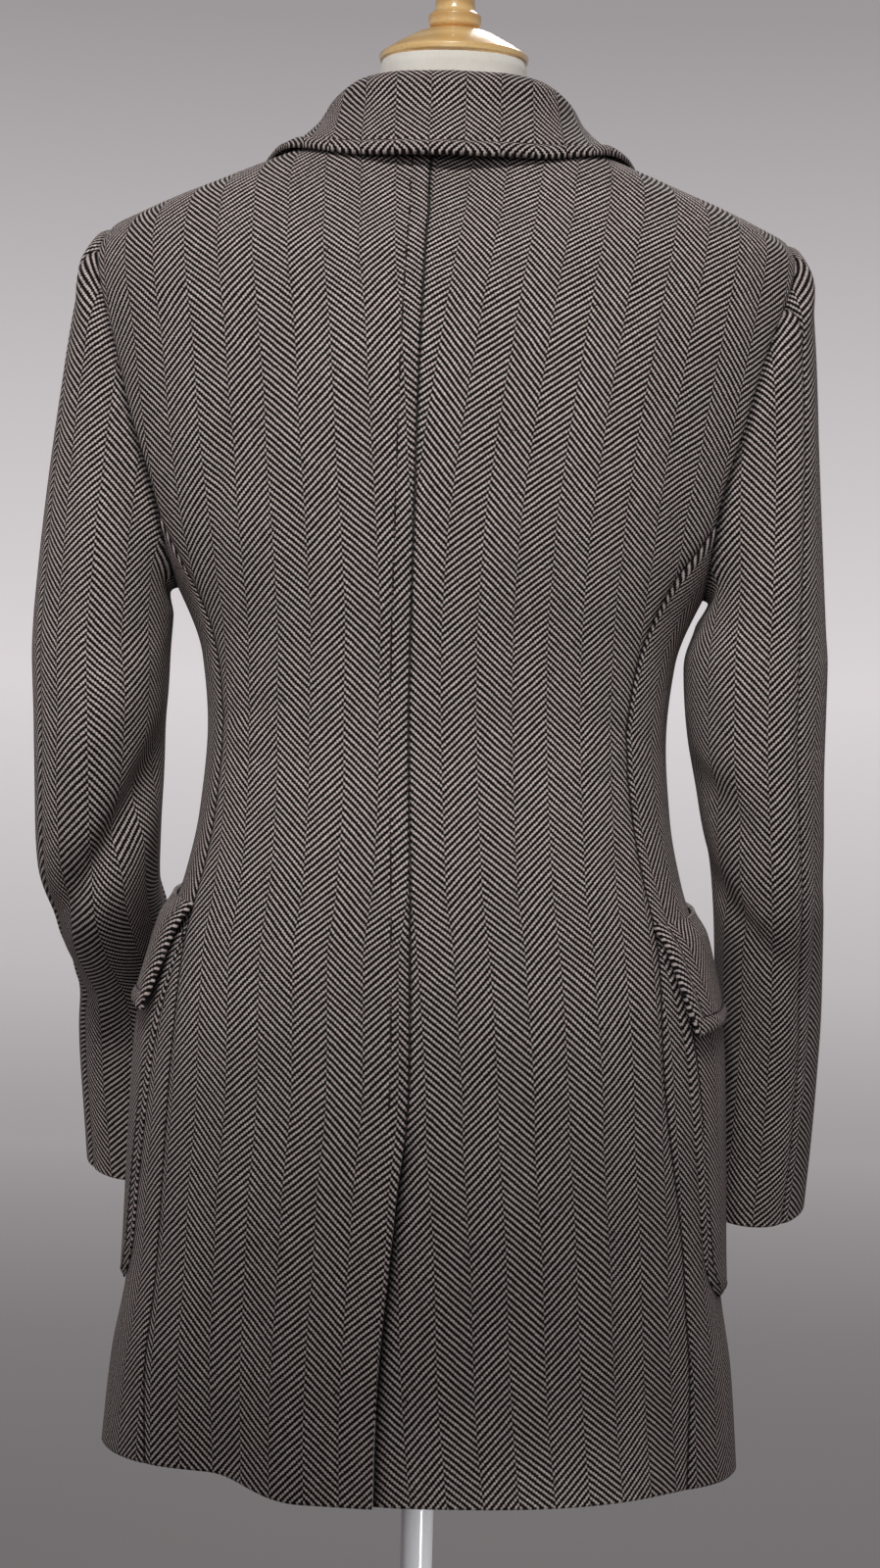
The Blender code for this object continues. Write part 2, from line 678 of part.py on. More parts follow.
def sleeve_ring(side, angle, station):
    """A point of a sleeve below the biceps: an oval about a bent centre line, leaning with it."""
    table = SLEEVES[side]
    count = np.arange(1.0, len(table) + 1)
    at = np.clip(station, 1.0, len(table))
    part = {name: smooth(count, table[name].astype(float), at) for name in table.dtype.names}
    lean = np.radians(part["lean"])
    deep = part["deep"] * np.sin(angle)
    x = part["x"] + part["across"] * np.cos(angle)
    y = part["y"] + deep * np.cos(lean)
    z = part["z"] - deep * np.sin(lean)
    return np.stack([x, y, z], axis=-1)


def armhole_ring(side, angle):
    """A point of the armhole, a little inside its edge, for the sleeve to start from."""
    turn = np.sin(angle)
    rise = np.cos(angle)
    round_by = 2 / ARMHOLE_POWER
    width = np.where(turn >= 0, ARMHOLE_BACK[side], ARMHOLE_FRONT[side]) - ARMHOLE_SHRINK
    reach = (SHOULDER_Z - ARMHOLE_BOTTOM_Z) / 2 - ARMHOLE_SHRINK
    y = width * np.abs(turn) ** round_by
    z = (SHOULDER_Z + ARMHOLE_BOTTOM_Z) / 2 + reach * np.sign(rise) * np.abs(rise) ** round_by
    behind = angle_at_depth(y, z, "back")
    ahead = -angle_at_depth(y, z, "front")
    return ring_point(BODY, np.where(turn >= 0, behind, ahead), z)


def sleeve_shape(side, angle, station):
    """The sleeve: a cap from the armhole to the biceps, then the ovals down to the cuff."""
    start = armhole_ring(side, angle)
    end = sleeve_ring(side, angle, np.ones_like(station))
    down = sleeve_ring(side, angle, np.full(station.shape, CAP_ARRIVE["after_biceps"])) - end
    down = down / np.linalg.norm(down, axis=-1, keepdims=True)
    down[..., 0] += CAP_LEAN[side] * np.cos(angle)
    top = np.cos(angle)
    out = CAP_LEAVE["out"] + CAP_LEAVE["more_on_top"] * top
    leave = np.stack([out, 0 * top, CAP_LEAVE["up_on_top"] * top], axis=-1)
    arrive = (CAP_ARRIVE["length"] + CAP_ARRIVE["more_on_top"] * top)[..., None] * down
    t = np.clip(station, 0.0, 1.0)[..., None]
    first = start + leave
    second = end - arrive
    cap = start * (1 - t) ** 3 + 3 * first * t * (1 - t) ** 2 + 3 * second * t * t * (1 - t) + end * t**3
    return np.where(station[..., None] < 1.0, cap, sleeve_ring(side, angle, station))


def creases(side, angle, station):
    total = 0 * angle
    for crease in SLEEVE_CREASES[side]:
        turn = turn_from(angle, crease["angle"])
        run = (station - crease["station"] + turn / CREASE_SLANT) / crease["run"]
        total = total + crease["depth"] * np.exp(-((turn / crease["spread"]) ** 2) - run**2)
    return total


def sleeve_surface(side):
    """The sleeve of one side as a surface, wearer's right mirrored, its normal outwards."""
    way = 1.0 if side == "left" else -1.0

    def surface(angle, station):
        point = sleeve_shape(side, -way * angle, station)
        return point * np.array([way, 1.0, 1.0])

    return surface


def build_sleeves(material):
    for side in ("left", "right"):
        way = 1.0 if side == "left" else -1.0
        surface = sleeve_surface(side)
        station = np.concatenate([CAP_STATIONS, np.arange(len(SLEEVES[side])) + 1.0])
        spans = {
            "top_sleeve": (HIND_SEAM[side], FORE_SEAM[side] - 360.0),
            "under_sleeve": (HIND_SEAM[side], FORE_SEAM[side]),
        }
        for name, (first, final) in spans.items():
            start = -way * np.radians(np.full(station.shape, first))
            end = -way * np.radians(np.full(station.shape, final))
            sign = np.sign(end - start)
            start = start + sign * inset(surface, start, station, SEAM_GAP / 2)
            end = end - sign * inset(surface, end, station, SEAM_GAP / 2)
            angle = start[:, None] + (end - start)[:, None] * np.linspace(0.0, 1.0, COLUMNS[name])
            height = np.repeat(station[:, None], COLUMNS[name], axis=1)
            lift = creases(side, -way * angle, height)
            wall(f"{name}_{side}", surface, angle, height, material, lift=lift)


def build_pockets(material):
    for side in ("left", "right"):
        z = POCKET["top"] + (POCKET["bottom"] - POCKET["top"]) * POCKET_DROPS
        near = 1 - (z - POCKET["bottom"]) / POCKET["corner"]
        near = np.clip(near, 0.0, POCKET["corner_turn"])
        round_off = np.degrees(POCKET["corner"] * (1 - np.sqrt(1 - near**2)) / POCKET["radius"])
        rear = POCKET_REAR[side] - POCKET["rear_lean"] * POCKET_DROPS - round_off
        fore = POCKET_REAR[side] - POCKET["length"] - POCKET["fore_lean"] * POCKET_DROPS + round_off
        share = np.linspace(0.0, 1.0, COLUMNS["pocket"])
        angle = np.radians(rear[:, None] + (fore - rear)[:, None] * share)
        height = np.repeat(z[:, None], len(share), axis=1)
        wall(f"pocket_{side}", body, set_side(angle, side), height, material, lift=LAYER)


def build_flaps(material):
    for side in ("left", "right"):
        rear, top = FLAP_REAR[side]
        drop = np.linspace(0.0, 1.0, FLAP_ROWS)[:, None]
        share = np.linspace(0.0, 1.0, COLUMNS["flap"])[None, :]
        angle = np.radians(rear - FLAP["length"] * share - FLAP["lean"] * drop)
        height = top + FLAP["rise"] * share - FLAP["height"] * drop
        lift = LAYER + (FLAP["stand"] - LAYER) * ease(drop / FLAP["stands_within"])
        lift = lift + FLAP["flare"] * drop * ease(1 - share / FLAP["flares_within"])
        wall(f"pocket_flap_{side}", body, set_side(angle, side), height, material, lift=lift)


def build_buttons(material):
    places = [(x, z) for z in BUTTON_ROWS for x in (BUTTON_X, -BUTTON_X)]
    for number, (x, z) in enumerate(places, start=1):
        height = np.array([[z]])
        angle = front_angle(np.array([[x]]), height)
        normal = surface_normal(body, angle, height)[0, 0]
        seat = raised(body, angle, height, over_lift(angle, height) + BUTTON_SHANK)[0, 0]
        profile = np.array(
            [(0.0, 0.0), (BUTTON_RADIUS - BUTTON_EDGE, 0.0), (BUTTON_RADIUS, BUTTON_EDGE),
             (BUTTON_RADIUS, BUTTON_DEPTH - BUTTON_EDGE), (BUTTON_RADIUS - BUTTON_EDGE, BUTTON_DEPTH),
             (BUTTON_RADIUS - BUTTON_RIM, BUTTON_DEPTH - BUTTON_EDGE), (0.0, BUTTON_DEPTH - BUTTON_EDGE)],
        )
        sideways = np.cross(np.array([0.0, 0.0, 1.0]), normal)
        sideways = sideways / np.linalg.norm(sideways)
        upward = np.cross(normal, sideways)
        axes = (sideways, upward, normal)
        turned(f"button_{number}", profile, material, SIDES_ROUND["button"], seat, axes)


def turned(name, profile, material, sides, seat=(0, 0, 0), axes=np.eye(3)):
    """A solid of revolution: a profile of radius and height that starts and ends on the axis."""
    turn = np.linspace(0.0, 2 * math.pi, sides, endpoint=False)
    rings = profile[1:-1]
    x = rings[:, :1] * np.cos(turn)
    y = rings[:, :1] * np.sin(turn)
    z = np.repeat(rings[:, 1:], sides, axis=1)
    points = np.stack([x, y, z], axis=-1).reshape(-1, 3)
    ends = np.array([[0.0, 0.0, profile[0, 1]], [0.0, 0.0, profile[-1, 1]]])
    points = np.concatenate([points, ends]) @ np.array(axes) + np.array(seat)
    faces = []
    last = len(rings) - 1
    for side in range(sides):
        after = (side + 1) % sides
        faces.append([len(points) - 2, after, side])
        faces.append([len(points) - 1, last * sides + side, last * sides + after])
        for ring in range(last):
            low = ring * sides
            faces.append([low + side, low + after, low + sides + after, low + sides + side])
    return build_mesh(name, points, faces, material)


def build_form(jersey, wood, steel):
    levels = np.concatenate([TORSO["z"][:1], TORSO_LEVELS, TORSO["z"][-TORSO_SHOULDER_ROWS:]])
    sides = SIDES_ROUND["torso"]
    angle, z = np.meshgrid(np.linspace(0.0, 2 * math.pi, sides, endpoint=False), levels)
    points = ring_point(TORSO, angle, z).reshape(-1, 3)
    faces = [list(range(sides))[::-1], list(range(len(points) - sides, len(points)))]
    for ring in range(len(levels) - 1):
        for side in range(sides):
            low = ring * sides
            after = (side + 1) % sides
            faces.append([low + side, low + after, low + sides + after, low + sides + side])
    build_mesh("form_torso", points, faces, jersey)
    turned("neck_cap", CAP_PROFILE, wood, SIDES_ROUND["cap"])
    turned("finial", FINIAL_PROFILE, wood, SIDES_ROUND["finial"])
    low = SOCKET_TOP_Z + SEAM_GAP
    high = TORSO["z"][0] - SEAM_GAP
    pole = np.array([(0.0, low), (POLE_RADIUS, low), (POLE_RADIUS, high), (0.0, high)])
    turned("pole", pole, steel, SIDES_ROUND["pole"])
    base = np.array(
        [(0.0, 0.0), (BASE_RADIUS - BASE_FOOT_EDGE, 0.0), (BASE_RADIUS, BASE_FOOT_EDGE),
         (BASE_RADIUS, BASE_DEPTH - BASE_EDGE), (BASE_RADIUS - BASE_EDGE, BASE_DEPTH),
         (SOCKET_RADIUS, BASE_DEPTH), (SOCKET_RADIUS, SOCKET_TOP_Z - BASE_EDGE),
         (SOCKET_RADIUS - BASE_EDGE, SOCKET_TOP_Z), (0.0, SOCKET_TOP_Z)]
    )
    turned("base", base, steel, SIDES_ROUND["base"])


def main():
    clear_scene()
    cloth = make_material("herringbone_cloth", CLOTH_COLOUR)
    horn = make_material("button_horn", BUTTON_COLOUR, 0.35)
    jersey = make_material("form_jersey", JERSEY_COLOUR)
    wood = make_material("varnished_wood", WOOD_COLOUR, 0.35)
    steel = make_material("pole_steel", STEEL_COLOUR, 0.25, 1.0)
    build_backs(cloth)
    build_sides(cloth)
    build_fronts(cloth)
    build_lapels(cloth)
    build_collar(cloth)
    build_sleeves(cloth)
    build_pockets(cloth)
    build_flaps(cloth)
    build_buttons(horn)
    build_form(jersey, wood, steel)


main()
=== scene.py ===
"""The looks of a waisted double-breasted overcoat in herringbone tweed, standing on a dress form.

Metres, +Z up, the floor at z = 0 under the pole. The coat faces -Y and the wearer's left is +X.
A point of the body is given by an angle round it (0 at the left side, 90 degrees at the centre back)
and a height. A point of a sleeve is given by an angle round it (0 outwards, 90 degrees to the back)
and a station down it. Every cloth piece is a fine grid on one of these surfaces, moved out or in
for its folds, seams and stitched edges, and given the cloth's thickness.
"""

import math

import bpy
import numpy as np
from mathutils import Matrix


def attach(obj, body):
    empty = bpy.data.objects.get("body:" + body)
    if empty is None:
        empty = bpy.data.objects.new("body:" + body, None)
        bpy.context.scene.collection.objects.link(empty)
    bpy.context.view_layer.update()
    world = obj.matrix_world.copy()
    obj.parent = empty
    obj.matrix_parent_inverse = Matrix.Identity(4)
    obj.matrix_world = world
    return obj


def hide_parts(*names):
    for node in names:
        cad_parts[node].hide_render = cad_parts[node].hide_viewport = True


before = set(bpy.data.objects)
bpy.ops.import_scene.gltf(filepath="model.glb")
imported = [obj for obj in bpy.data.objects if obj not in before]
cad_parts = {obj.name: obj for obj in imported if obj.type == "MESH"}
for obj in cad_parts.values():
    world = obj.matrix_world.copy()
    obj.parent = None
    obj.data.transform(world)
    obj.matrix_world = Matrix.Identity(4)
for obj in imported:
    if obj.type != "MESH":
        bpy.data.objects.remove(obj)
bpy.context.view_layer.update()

bl_info = {
    "name": "Herringbone Overcoat",
    "version": (1, 0, 0),
    "blender": (4, 5, 0),
    "location": "View3D > Sidebar > Overcoat",
    "description": "Builds a double-breasted herringbone overcoat on a dress form around its packed solids",
    "category": "Object",
}

BODY_NAME = "root"
CLOTH_NAME = "_cloth"
FINISH_NAME = "_finish"
SIDES = (("left", 1.0), ("right", -1.0))


def table(columns, rows):
    """A table of numbers with named columns."""
    return np.array(rows, dtype=[(name, float) for name in columns.split()])


# The cloth's thickness, the gap in a seam, the height of a layer and a lapel, and steps of sums.
CLOTH = 0.0024
SEAM_GAP = 0.0003
LAYER = 0.0038
LAPEL_LIFT = 0.0046
STEP = 1e-4
TINY = 1e-12
HALVINGS = 40

# Heights of the hem, the vent, the lapel's break, the armhole's join, the shoulder, neck and waist.
HEM_Z = 0.558
VENT_TOP_Z = 0.787
BREAK_Z = 1.130
JOIN_Z = 1.140
SHOULDER_Z = 1.318
NECK_Z = 1.378
WAIST_Z = 1.010

# The armhole, a rounded square: its foot, its power and its reach to the back and front.
ARMHOLE_BOTTOM_Z = 1.097
ARMHOLE_POWER = 2.6
ARMHOLE_FOOT = 1e-5
ARMHOLE_SHRINK = 0.0010
ARMHOLE_BACK = {"left": 0.057, "right": 0.067}
ARMHOLE_FRONT = {"left": 0.064, "right": 0.058}

# How full the rings are, and where the fronts, vent, lapels and buttons lie.
RING_FULLNESS = 0.045
SHOULDER_FULLNESS = 0.075
FULLER_FROM_Z = 1.200
LESS_FULL_FROM_Z = 1.348
FRONT_LAP = 0.065
NECK_SIDE_X = 0.055
LAP_RAMP = 0.050
LAP_FULL = 0.026
VENT_UNDERLAP = 0.040
# The half width of the painted shadow on the right back beside the vent's lapped edge.
VENT_SHADE = 0.0045
VENT = {
    "opens_over": 0.03, "lap": 0.0022, "more_at_hem": 0.0030, "lap_spread": 0.022,
    "sink": 0.0028, "sink_spread": 0.010,
}
UNDERLAP = {"swell": 0.0008, "spread": 0.006, "grain_from": 0.065}
CENTRE_RIDGE = {"height": 0.0007, "over": 0.003, "drawn_in": 0.0006, "spread": 0.0016}
SIDE_BEND = 0.040
ROLL_FADE = 0.02
LAPEL_TIP_X = 0.128
LAPEL_TIP_Z = 1.285
LAPEL_BOW = 0.88
LAPEL_BOTTOM_Z = {"left": 1.209, "right": 1.140}
LAPEL_TOP_Z = 1.341
LAPEL_INSET = 0.0015
UNDER_LAPEL_INSET = 0.0040
LAPEL = {
    "belly": 0.0030, "sink": 0.0030, "sink_spread": 0.0035, "grain_from": 0.05,
    "trim_low": 0.012, "trim_high": 0.004,
}
GORGE_TOP_X = 0.046
GORGE_TOP_Z = 1.346
BUTTON_X = 0.046
BUTTON_ROWS = (1.105, 1.010, 0.915)
BUTTON_SHANK = 0.0026
BUTTON_SIDES = 48
BUTTON_DISH = 0.0032
BUTTON_PROFILE = np.array(
    [(0.0, 0.0), (0.0110, 0.0), (0.0125, 0.0016), (0.0125, 0.0032), (0.0113, 0.0046),
     (0.0091, 0.0032), (0.0, 0.0029)],
)
# The four holes are painted black on the button's face, as painted shade; the button is not cut through.
BUTTON_HOLE = {"from_middle": 0.0022, "radius": 0.0010, "edge": 0.8}

# Rings of the body: height, half width, and depth to the back and to the front.
BODY = table("z half back front", [
    (0.558, 0.1970, 0.1370, 0.1380), (0.620, 0.1920, 0.1350, 0.1350), (0.680, 0.1835, 0.1320, 0.1310),
    (0.760, 0.1810, 0.1290, 0.1280), (0.820, 0.1785, 0.1260, 0.1250), (0.880, 0.1668, 0.1170, 0.1180),
    (0.920, 0.1540, 0.1090, 0.1110), (0.960, 0.1460, 0.1010, 0.1070), (1.010, 0.1424, 0.0960, 0.1050),
    (1.055, 0.1466, 0.0990, 0.1110), (1.095, 0.1620, 0.1060, 0.1210), (1.120, 0.1780, 0.1095, 0.1250),
    (1.160, 0.1960, 0.1135, 0.1280), (1.214, 0.2145, 0.1170, 0.1250), (1.286, 0.2215, 0.1095, 0.0950),
    (1.318, 0.2100, 0.1000, 0.0780), (1.327, 0.1880, 0.0960, 0.0735), (1.339, 0.1570, 0.0900, 0.0680),
    (1.351, 0.1300, 0.0835, 0.0630), (1.365, 0.1000, 0.0740, 0.0580), (1.380, 0.0720, 0.0600, 0.0520),
])
SHOULDER_SOFTNESS = (-0.016, -0.008, 0.0, 0.008, 0.016)
SOFT_FROM_SIDE = 0.5

# Flutes of the skirt and lifts of the hem: where round the body, how wide and how deep.
FLUTES = table("angle spread depth top", [
    (52.0, 9.0, -0.0100, 0.76), (70.0, 9.0, 0.0040, 0.72), (118.0, 12.0, 0.0030, 0.74),
    (141.0, 10.0, -0.0040, 0.72), (-60.0, 11.0, -0.0040, 0.74), (-122.0, 11.0, -0.0040, 0.74),
])
HEM_LIFTS = table("angle spread fade height top", [
    (16.0, 34.0, 20.0, 0.0120, 0.680), (158.0, 14.0, 44.0, 0.0040, 0.680),
])

# The centre seam's x, the side seams' angles, and a grain line's way from the centre seam.
CENTRE_SEAM = table("z x", [
    (0.558, 0.026), (0.590, 0.026), (0.730, 0.017), (0.800, 0.011), (0.900, 0.013), (1.040, 0.017),
    (1.210, 0.016), (1.380, 0.011),
])
SIDE_SEAMS = table("z left right front", [
    (0.558, 36.5, 36.5, 36.0), (0.670, 32.0, 34.0, 36.0), (0.820, 33.0, 41.0, 36.0),
    (0.907, 27.5, 37.0, 36.0), (1.010, 26.5, 39.0, 35.0), (1.095, 26.5, 36.0, 33.0),
])
GRAIN_COLUMNS = "z from_seam"
BACK_GRAIN = {
    "left": table(GRAIN_COLUMNS, [
        (0.558, 0.0618), (0.687, 0.0661), (0.751, 0.0688), (0.806, 0.0699), (0.873, 0.0703),
        (0.917, 0.0647), (0.989, 0.0605), (1.066, 0.0603), (1.106, 0.0626), (1.177, 0.0688),
        (1.247, 0.0749), (1.302, 0.0821), (1.378, 0.0850),
    ]),
    "right": table(GRAIN_COLUMNS, [
        (0.558, 0.0645), (0.640, 0.0547), (0.692, 0.0479), (0.737, 0.0405), (0.777, 0.0330),
        (0.820, 0.0295), (0.884, 0.0249), (0.920, 0.0210), (1.000, 0.0192), (1.066, 0.0183),
        (1.124, 0.0200), (1.182, 0.0256), (1.239, 0.0329), (1.272, 0.0368), (1.320, 0.0430),
        (1.378, 0.0487),
    ]),
}

# Ovals down each sleeve: centre, half width, half depth and lean.
SLEEVE_COLUMNS = "z x y across deep lean"
SLEEVES = {
    "left": table(SLEEVE_COLUMNS, [
        (1.080, 0.2090, 0.000, 0.0430, 0.063, 0), (1.055, 0.2099, 0.000, 0.0427, 0.063, 0),
        (1.010, 0.2087, 0.003, 0.0413, 0.062, 0), (0.964, 0.2091, 0.000, 0.0393, 0.060, 14),
        (0.932, 0.2096, -0.013, 0.0382, 0.058, 30), (0.903, 0.2064, -0.042, 0.0340, 0.056, 44),
        (0.876, 0.2000, -0.077, 0.0325, 0.053, 46), (0.848, 0.1975, -0.098, 0.0325, 0.051, 38),
        (0.806, 0.1968, -0.116, 0.0325, 0.050, 24), (0.768, 0.1948, -0.128, 0.0325, 0.048, 18),
        (0.730, 0.1920, -0.139, 0.0330, 0.047, 16),
    ]),
    "right": table(SLEEVE_COLUMNS, [
        (1.080, 0.1994, 0.000, 0.0404, 0.063, 0), (1.055, 0.1970, 0.000, 0.0445, 0.063, 0),
        (1.010, 0.1984, -0.002, 0.0429, 0.062, 4), (0.979, 0.2020, -0.004, 0.0396, 0.061, 6),
        (0.948, 0.2058, -0.010, 0.0372, 0.060, 10), (0.918, 0.2095, -0.018, 0.0346, 0.058, 14),
        (0.888, 0.2125, -0.034, 0.0342, 0.056, 18), (0.827, 0.2155, -0.060, 0.0340, 0.052, 20),
        (0.765, 0.2140, -0.078, 0.0340, 0.049, 17), (0.715, 0.2110, -0.091, 0.0345, 0.047, 15),
    ]),
}
# How the cap leaves the armhole and meets the first oval, and the sleeve's seams and folds.
CAP_LEAVE = {"out": 0.013, "more_on_top": 0.003, "up_on_top": 0.002}
CAP_ARRIVE = {"length": 0.063, "more_on_top": 0.055, "after_biceps": 1.02}
CAP_LEAN = {"left": 0.04, "right": 0.0}
HIND_SEAM = {"left": 36.0, "right": 60.0}
FORE_SEAM = {"left": 196.0, "right": 216.0}
CREASE_SLANT = 60.0
CREASE_COLUMNS = "angle station spread run depth"
SLEEVE_CREASES = {
    "left": table(CREASE_COLUMNS, [
        (138.0, 3.8, 40.0, 0.45, -0.006), (96.0, 4.6, 50.0, 0.42, -0.009), (105.0, 2.8, 48.0, 0.60, 0.004),
        (40.0, 7.6, 40.0, 0.35, -0.003),
    ]),
    "right": table(CREASE_COLUMNS, [
        (130.0, 4.2, 50.0, 0.55, -0.004), (120.0, 6.4, 60.0, 0.45, -0.004), (80.0, 5.2, 50.0, 0.60, 0.002),
    ]),
}

# The sleeve's tuck under the armhole's edge, its painted shade along its seams and round the armhole, its
# head and its rows.
SLEEVE_TUCK = {"depth": 0.0035, "spread": 0.0035}
SLEEVE_SEAM_SHADE = 0.5
ARMHOLE_SHADE = {
    "over": 0.20, "narrow": 0.0014, "wider": 0.0022, "from_edge": 0.0025, "on_top": 0.4, "more_below": 0.6,
}
SLEEVE_HEAD = {"height": 0.0032, "from_seam": 0.018, "spread": 0.013, "behind": 0.2, "over": 0.8}
CAP_STATIONS = np.concatenate([[0.0, 0.004, 0.009, 0.016, 0.026], np.linspace(0.04, 1.0, 52)])
STATION_STEP = 0.09
CUFF_FROM = 0.13
CUFF_STEPS = np.array([0.10, 0.06, 0.03, 0.012, 0.0])

# The collar's roll and edge lines from the centre back to an end, and its section across.
COLLAR = table("station roll_x roll_y roll_z edge_x edge_y edge_z", [
    (0.0, 0.000, 0.0650, 1.4095, 0.000, 0.0980, 1.3545),
    (1.0, 0.030, 0.0600, 1.4095, 0.043, 0.0900, 1.3550),
    (2.0, 0.054, 0.0440, 1.4080, 0.082, 0.0660, 1.3560),
    (3.0, 0.068, 0.0120, 1.4020, 0.107, 0.0230, 1.3610),
    (4.0, 0.072, -0.0180, 1.3920, 0.118, -0.0200, 1.3600),
    (5.0, 0.066, -0.0440, 1.3740, 0.122, -0.0520, 1.3420),
    (6.0, 0.052, -0.0650, 1.3500, 0.108, -0.0740, 1.3120),
])
COLLAR_SECTION = table("across fall out up", [
    (0.00, 0.00, -0.0060, -0.0130), (0.16, 0.00, -0.0052, -0.0040), (0.30, 0.00, 0.0000, 0.0000),
    (0.44, 0.07, 0.0045, -0.0020), (0.72, 0.48, -0.0020, 0.0000), (1.00, 1.00, 0.0000, 0.0000),
])
COLLAR_CLEAR = 0.0048
COLLAR_GRAIN_FROM = 0.0093
COLLAR_SOFTNESS = 0.0012
COLLAR_ROWS = 190
COLLAR_EDGE = {"fuller": 1.5, "pucker": 0.25, "run": 0.0075, "drift": 0.023, "trim": 0.004}
COLLAR_END_SAG = 0.006
SAG_FROM_STATION = 5.0
STAND = {
    "ends": 3.9, "rows": 120, "drop": 0.0085, "forward": 0.0040, "above_neck": 0.0006, "inside_neck": 0.985,
}

# The flaps and pockets: angles in degrees round the body, heights and edges.
FLAP = {
    "length": 76.0, "height": 0.066, "rise": 0.016, "lean": 3.5,
    "stand": 0.0070, "stands_within": 0.25, "flare": 0.006, "flares_within": 0.35,
    "fuller": 1.3, "stitch_from_top": 0.004,
}
FLAP_REAR = {"left": (29.5, 0.903), "right": (38.5, 0.897)}
POCKET = {
    "length": 81.0, "top": 0.884, "bottom": 0.670, "rear_lean": 13.0, "fore_lean": 6.5,
    "corner": 0.030, "corner_turn": 0.97, "radius": 0.15,
}
POCKET_REAR = {"left": 29.0, "right": 37.5}
POCKET_EDGE = {
    "cloth": 0.0012, "drop": 0.0021, "spread": 0.005, "stitches": 0.0065,
    "belly": 0.0012, "from_top": 0.02, "from_corner": 0.012,
}

# The dress form: rings of the torso, and profiles of radius and height.
TORSO = table("z half back front", [
    (0.800, 0.1560, 0.1060, 0.1040), (0.850, 0.1580, 0.1040, 0.1040), (0.900, 0.1430, 0.0940, 0.0980),
    (0.950, 0.1310, 0.0850, 0.0920), (1.005, 0.1270, 0.0800, 0.0890), (1.055, 0.1310, 0.0830, 0.0940),
    (1.100, 0.1420, 0.0890, 0.1040), (1.160, 0.1580, 0.0960, 0.1090), (1.220, 0.1680, 0.0980, 0.1020),
    (1.275, 0.1680, 0.0930, 0.0800), (1.300, 0.1580, 0.0870, 0.0680), (1.325, 0.1300, 0.0780, 0.0580),
    (1.345, 0.0950, 0.0660, 0.0520), (1.362, 0.0640, 0.0530, 0.0470), (1.385, 0.0510, 0.0480, 0.0455),
    (1.4260, 0.0450, 0.0450, 0.0450),
])
TORSO_FOOT = 0.004
TORSO_ROWS = 110
TORSO_SIDES = 96
POLE_PROFILE = np.array(
    [(0.0000, 0.0453), (0.0094, 0.0453), (0.0100, 0.0459), (0.0100, 0.7991), (0.0094, 0.7997),
     (0.0000, 0.7997)],
)
BASE_PROFILE = np.array(
    [(0.000, 0.000), (0.178, 0.000), (0.180, 0.002), (0.180, 0.007), (0.177, 0.010), (0.024, 0.010),
     (0.020, 0.014), (0.020, 0.042), (0.017, 0.045), (0.000, 0.045)],
)
CAP_PROFILE = np.array(
    [(0.0000, 1.4264), (0.0440, 1.4264), (0.0466, 1.4280), (0.0466, 1.4305), (0.0440, 1.4330),
     (0.0330, 1.4400), (0.0225, 1.4455), (0.0150, 1.4475), (0.0000, 1.4475)],
)
FINIAL_PROFILE = np.array(
    [(0.0000, 1.4479), (0.0135, 1.4479), (0.0165, 1.4510), (0.0165, 1.4560), (0.0130, 1.4595),
     (0.0122, 1.4660), (0.0140, 1.4760), (0.0185, 1.4880), (0.0190, 1.4970), (0.0150, 1.5060),
     (0.0070, 1.5110), (0.0000, 1.5120)],
)

# The floor and wall, the lights (place, aim and size) and the backdrop's glow by height.
STAGE = {
    "flat": 7.0, "round": 2.0, "tall": 7.0, "sides": 96, "curve_rows": 16, "floor_fall": 0.25,
    "dims_from": -3.0, "dim_at": 4.0, "dimming": 0.66, "cloud_scale": 1.4, "cloud_tone": 0.93,
}
FLOOR_RINGS = (1.0, 3.0)
SKY_TINT = (1.0, 0.985, 0.97, 1.0)
CLIP_END = 100.0
LAMPS = {
    "key": ((0.2, 2.1, 2.9), (0.0, 0.0, 1.10), (1.2, 0.4)),
    "fill": ((0.4, 2.8, 1.5), (0.0, 0.0, 1.10), (1.2, 0.5)),
    "front": ((-0.5, -2.6, 3.2), (0.0, 0.0, 1.10), (1.2, 0.8)),
    "strip": ((-0.75, 1.3, 0.43), (0.0, 0.0, 0.45), (0.05, 0.2)),
}
GLOW = table("level tone", [
    (-1.5, 0.09), (-0.75, 0.16), (0.0, 0.29), (0.4, 0.46), (1.3, 0.66), (2.2, 0.52), (3.5, 0.30),
    (6.0, 0.16),
])

# Drag creases of the body: place, lean, half length, half width and depth.
BODY_CREASES = table("angle z lean length width depth", [
    (38.0, 1.020, 8.0, 0.050, 0.0055, -0.0012), (46.0, 0.992, -6.0, 0.045, 0.0060, -0.0010),
    (142.0, 1.012, -10.0, 0.050, 0.0060, -0.0012), (134.0, 0.985, 6.0, 0.042, 0.0055, -0.0009),
    (48.0, 1.150, 62.0, 0.060, 0.0090, -0.0022), (136.0, 1.150, -62.0, 0.060, 0.0090, -0.0020),
    (62.0, 1.205, 70.0, 0.060, 0.0120, -0.0014), (120.0, 1.200, -72.0, 0.060, 0.0120, -0.0014),
    (96.0, 0.965, 3.0, 0.040, 0.0070, -0.0006), (84.0, 1.040, -4.0, 0.045, 0.0070, -0.0006),
    (-70.0, 1.000, 10.0, 0.050, 0.0070, -0.0012), (-110.0, 1.020, -12.0, 0.050, 0.0070, -0.0012),
    (-50.0, 1.140, -58.0, 0.055, 0.0090, -0.0018), (-130.0, 1.140, 58.0, 0.055, 0.0090, -0.0018),
])
CREASE_RADIUS = 0.150

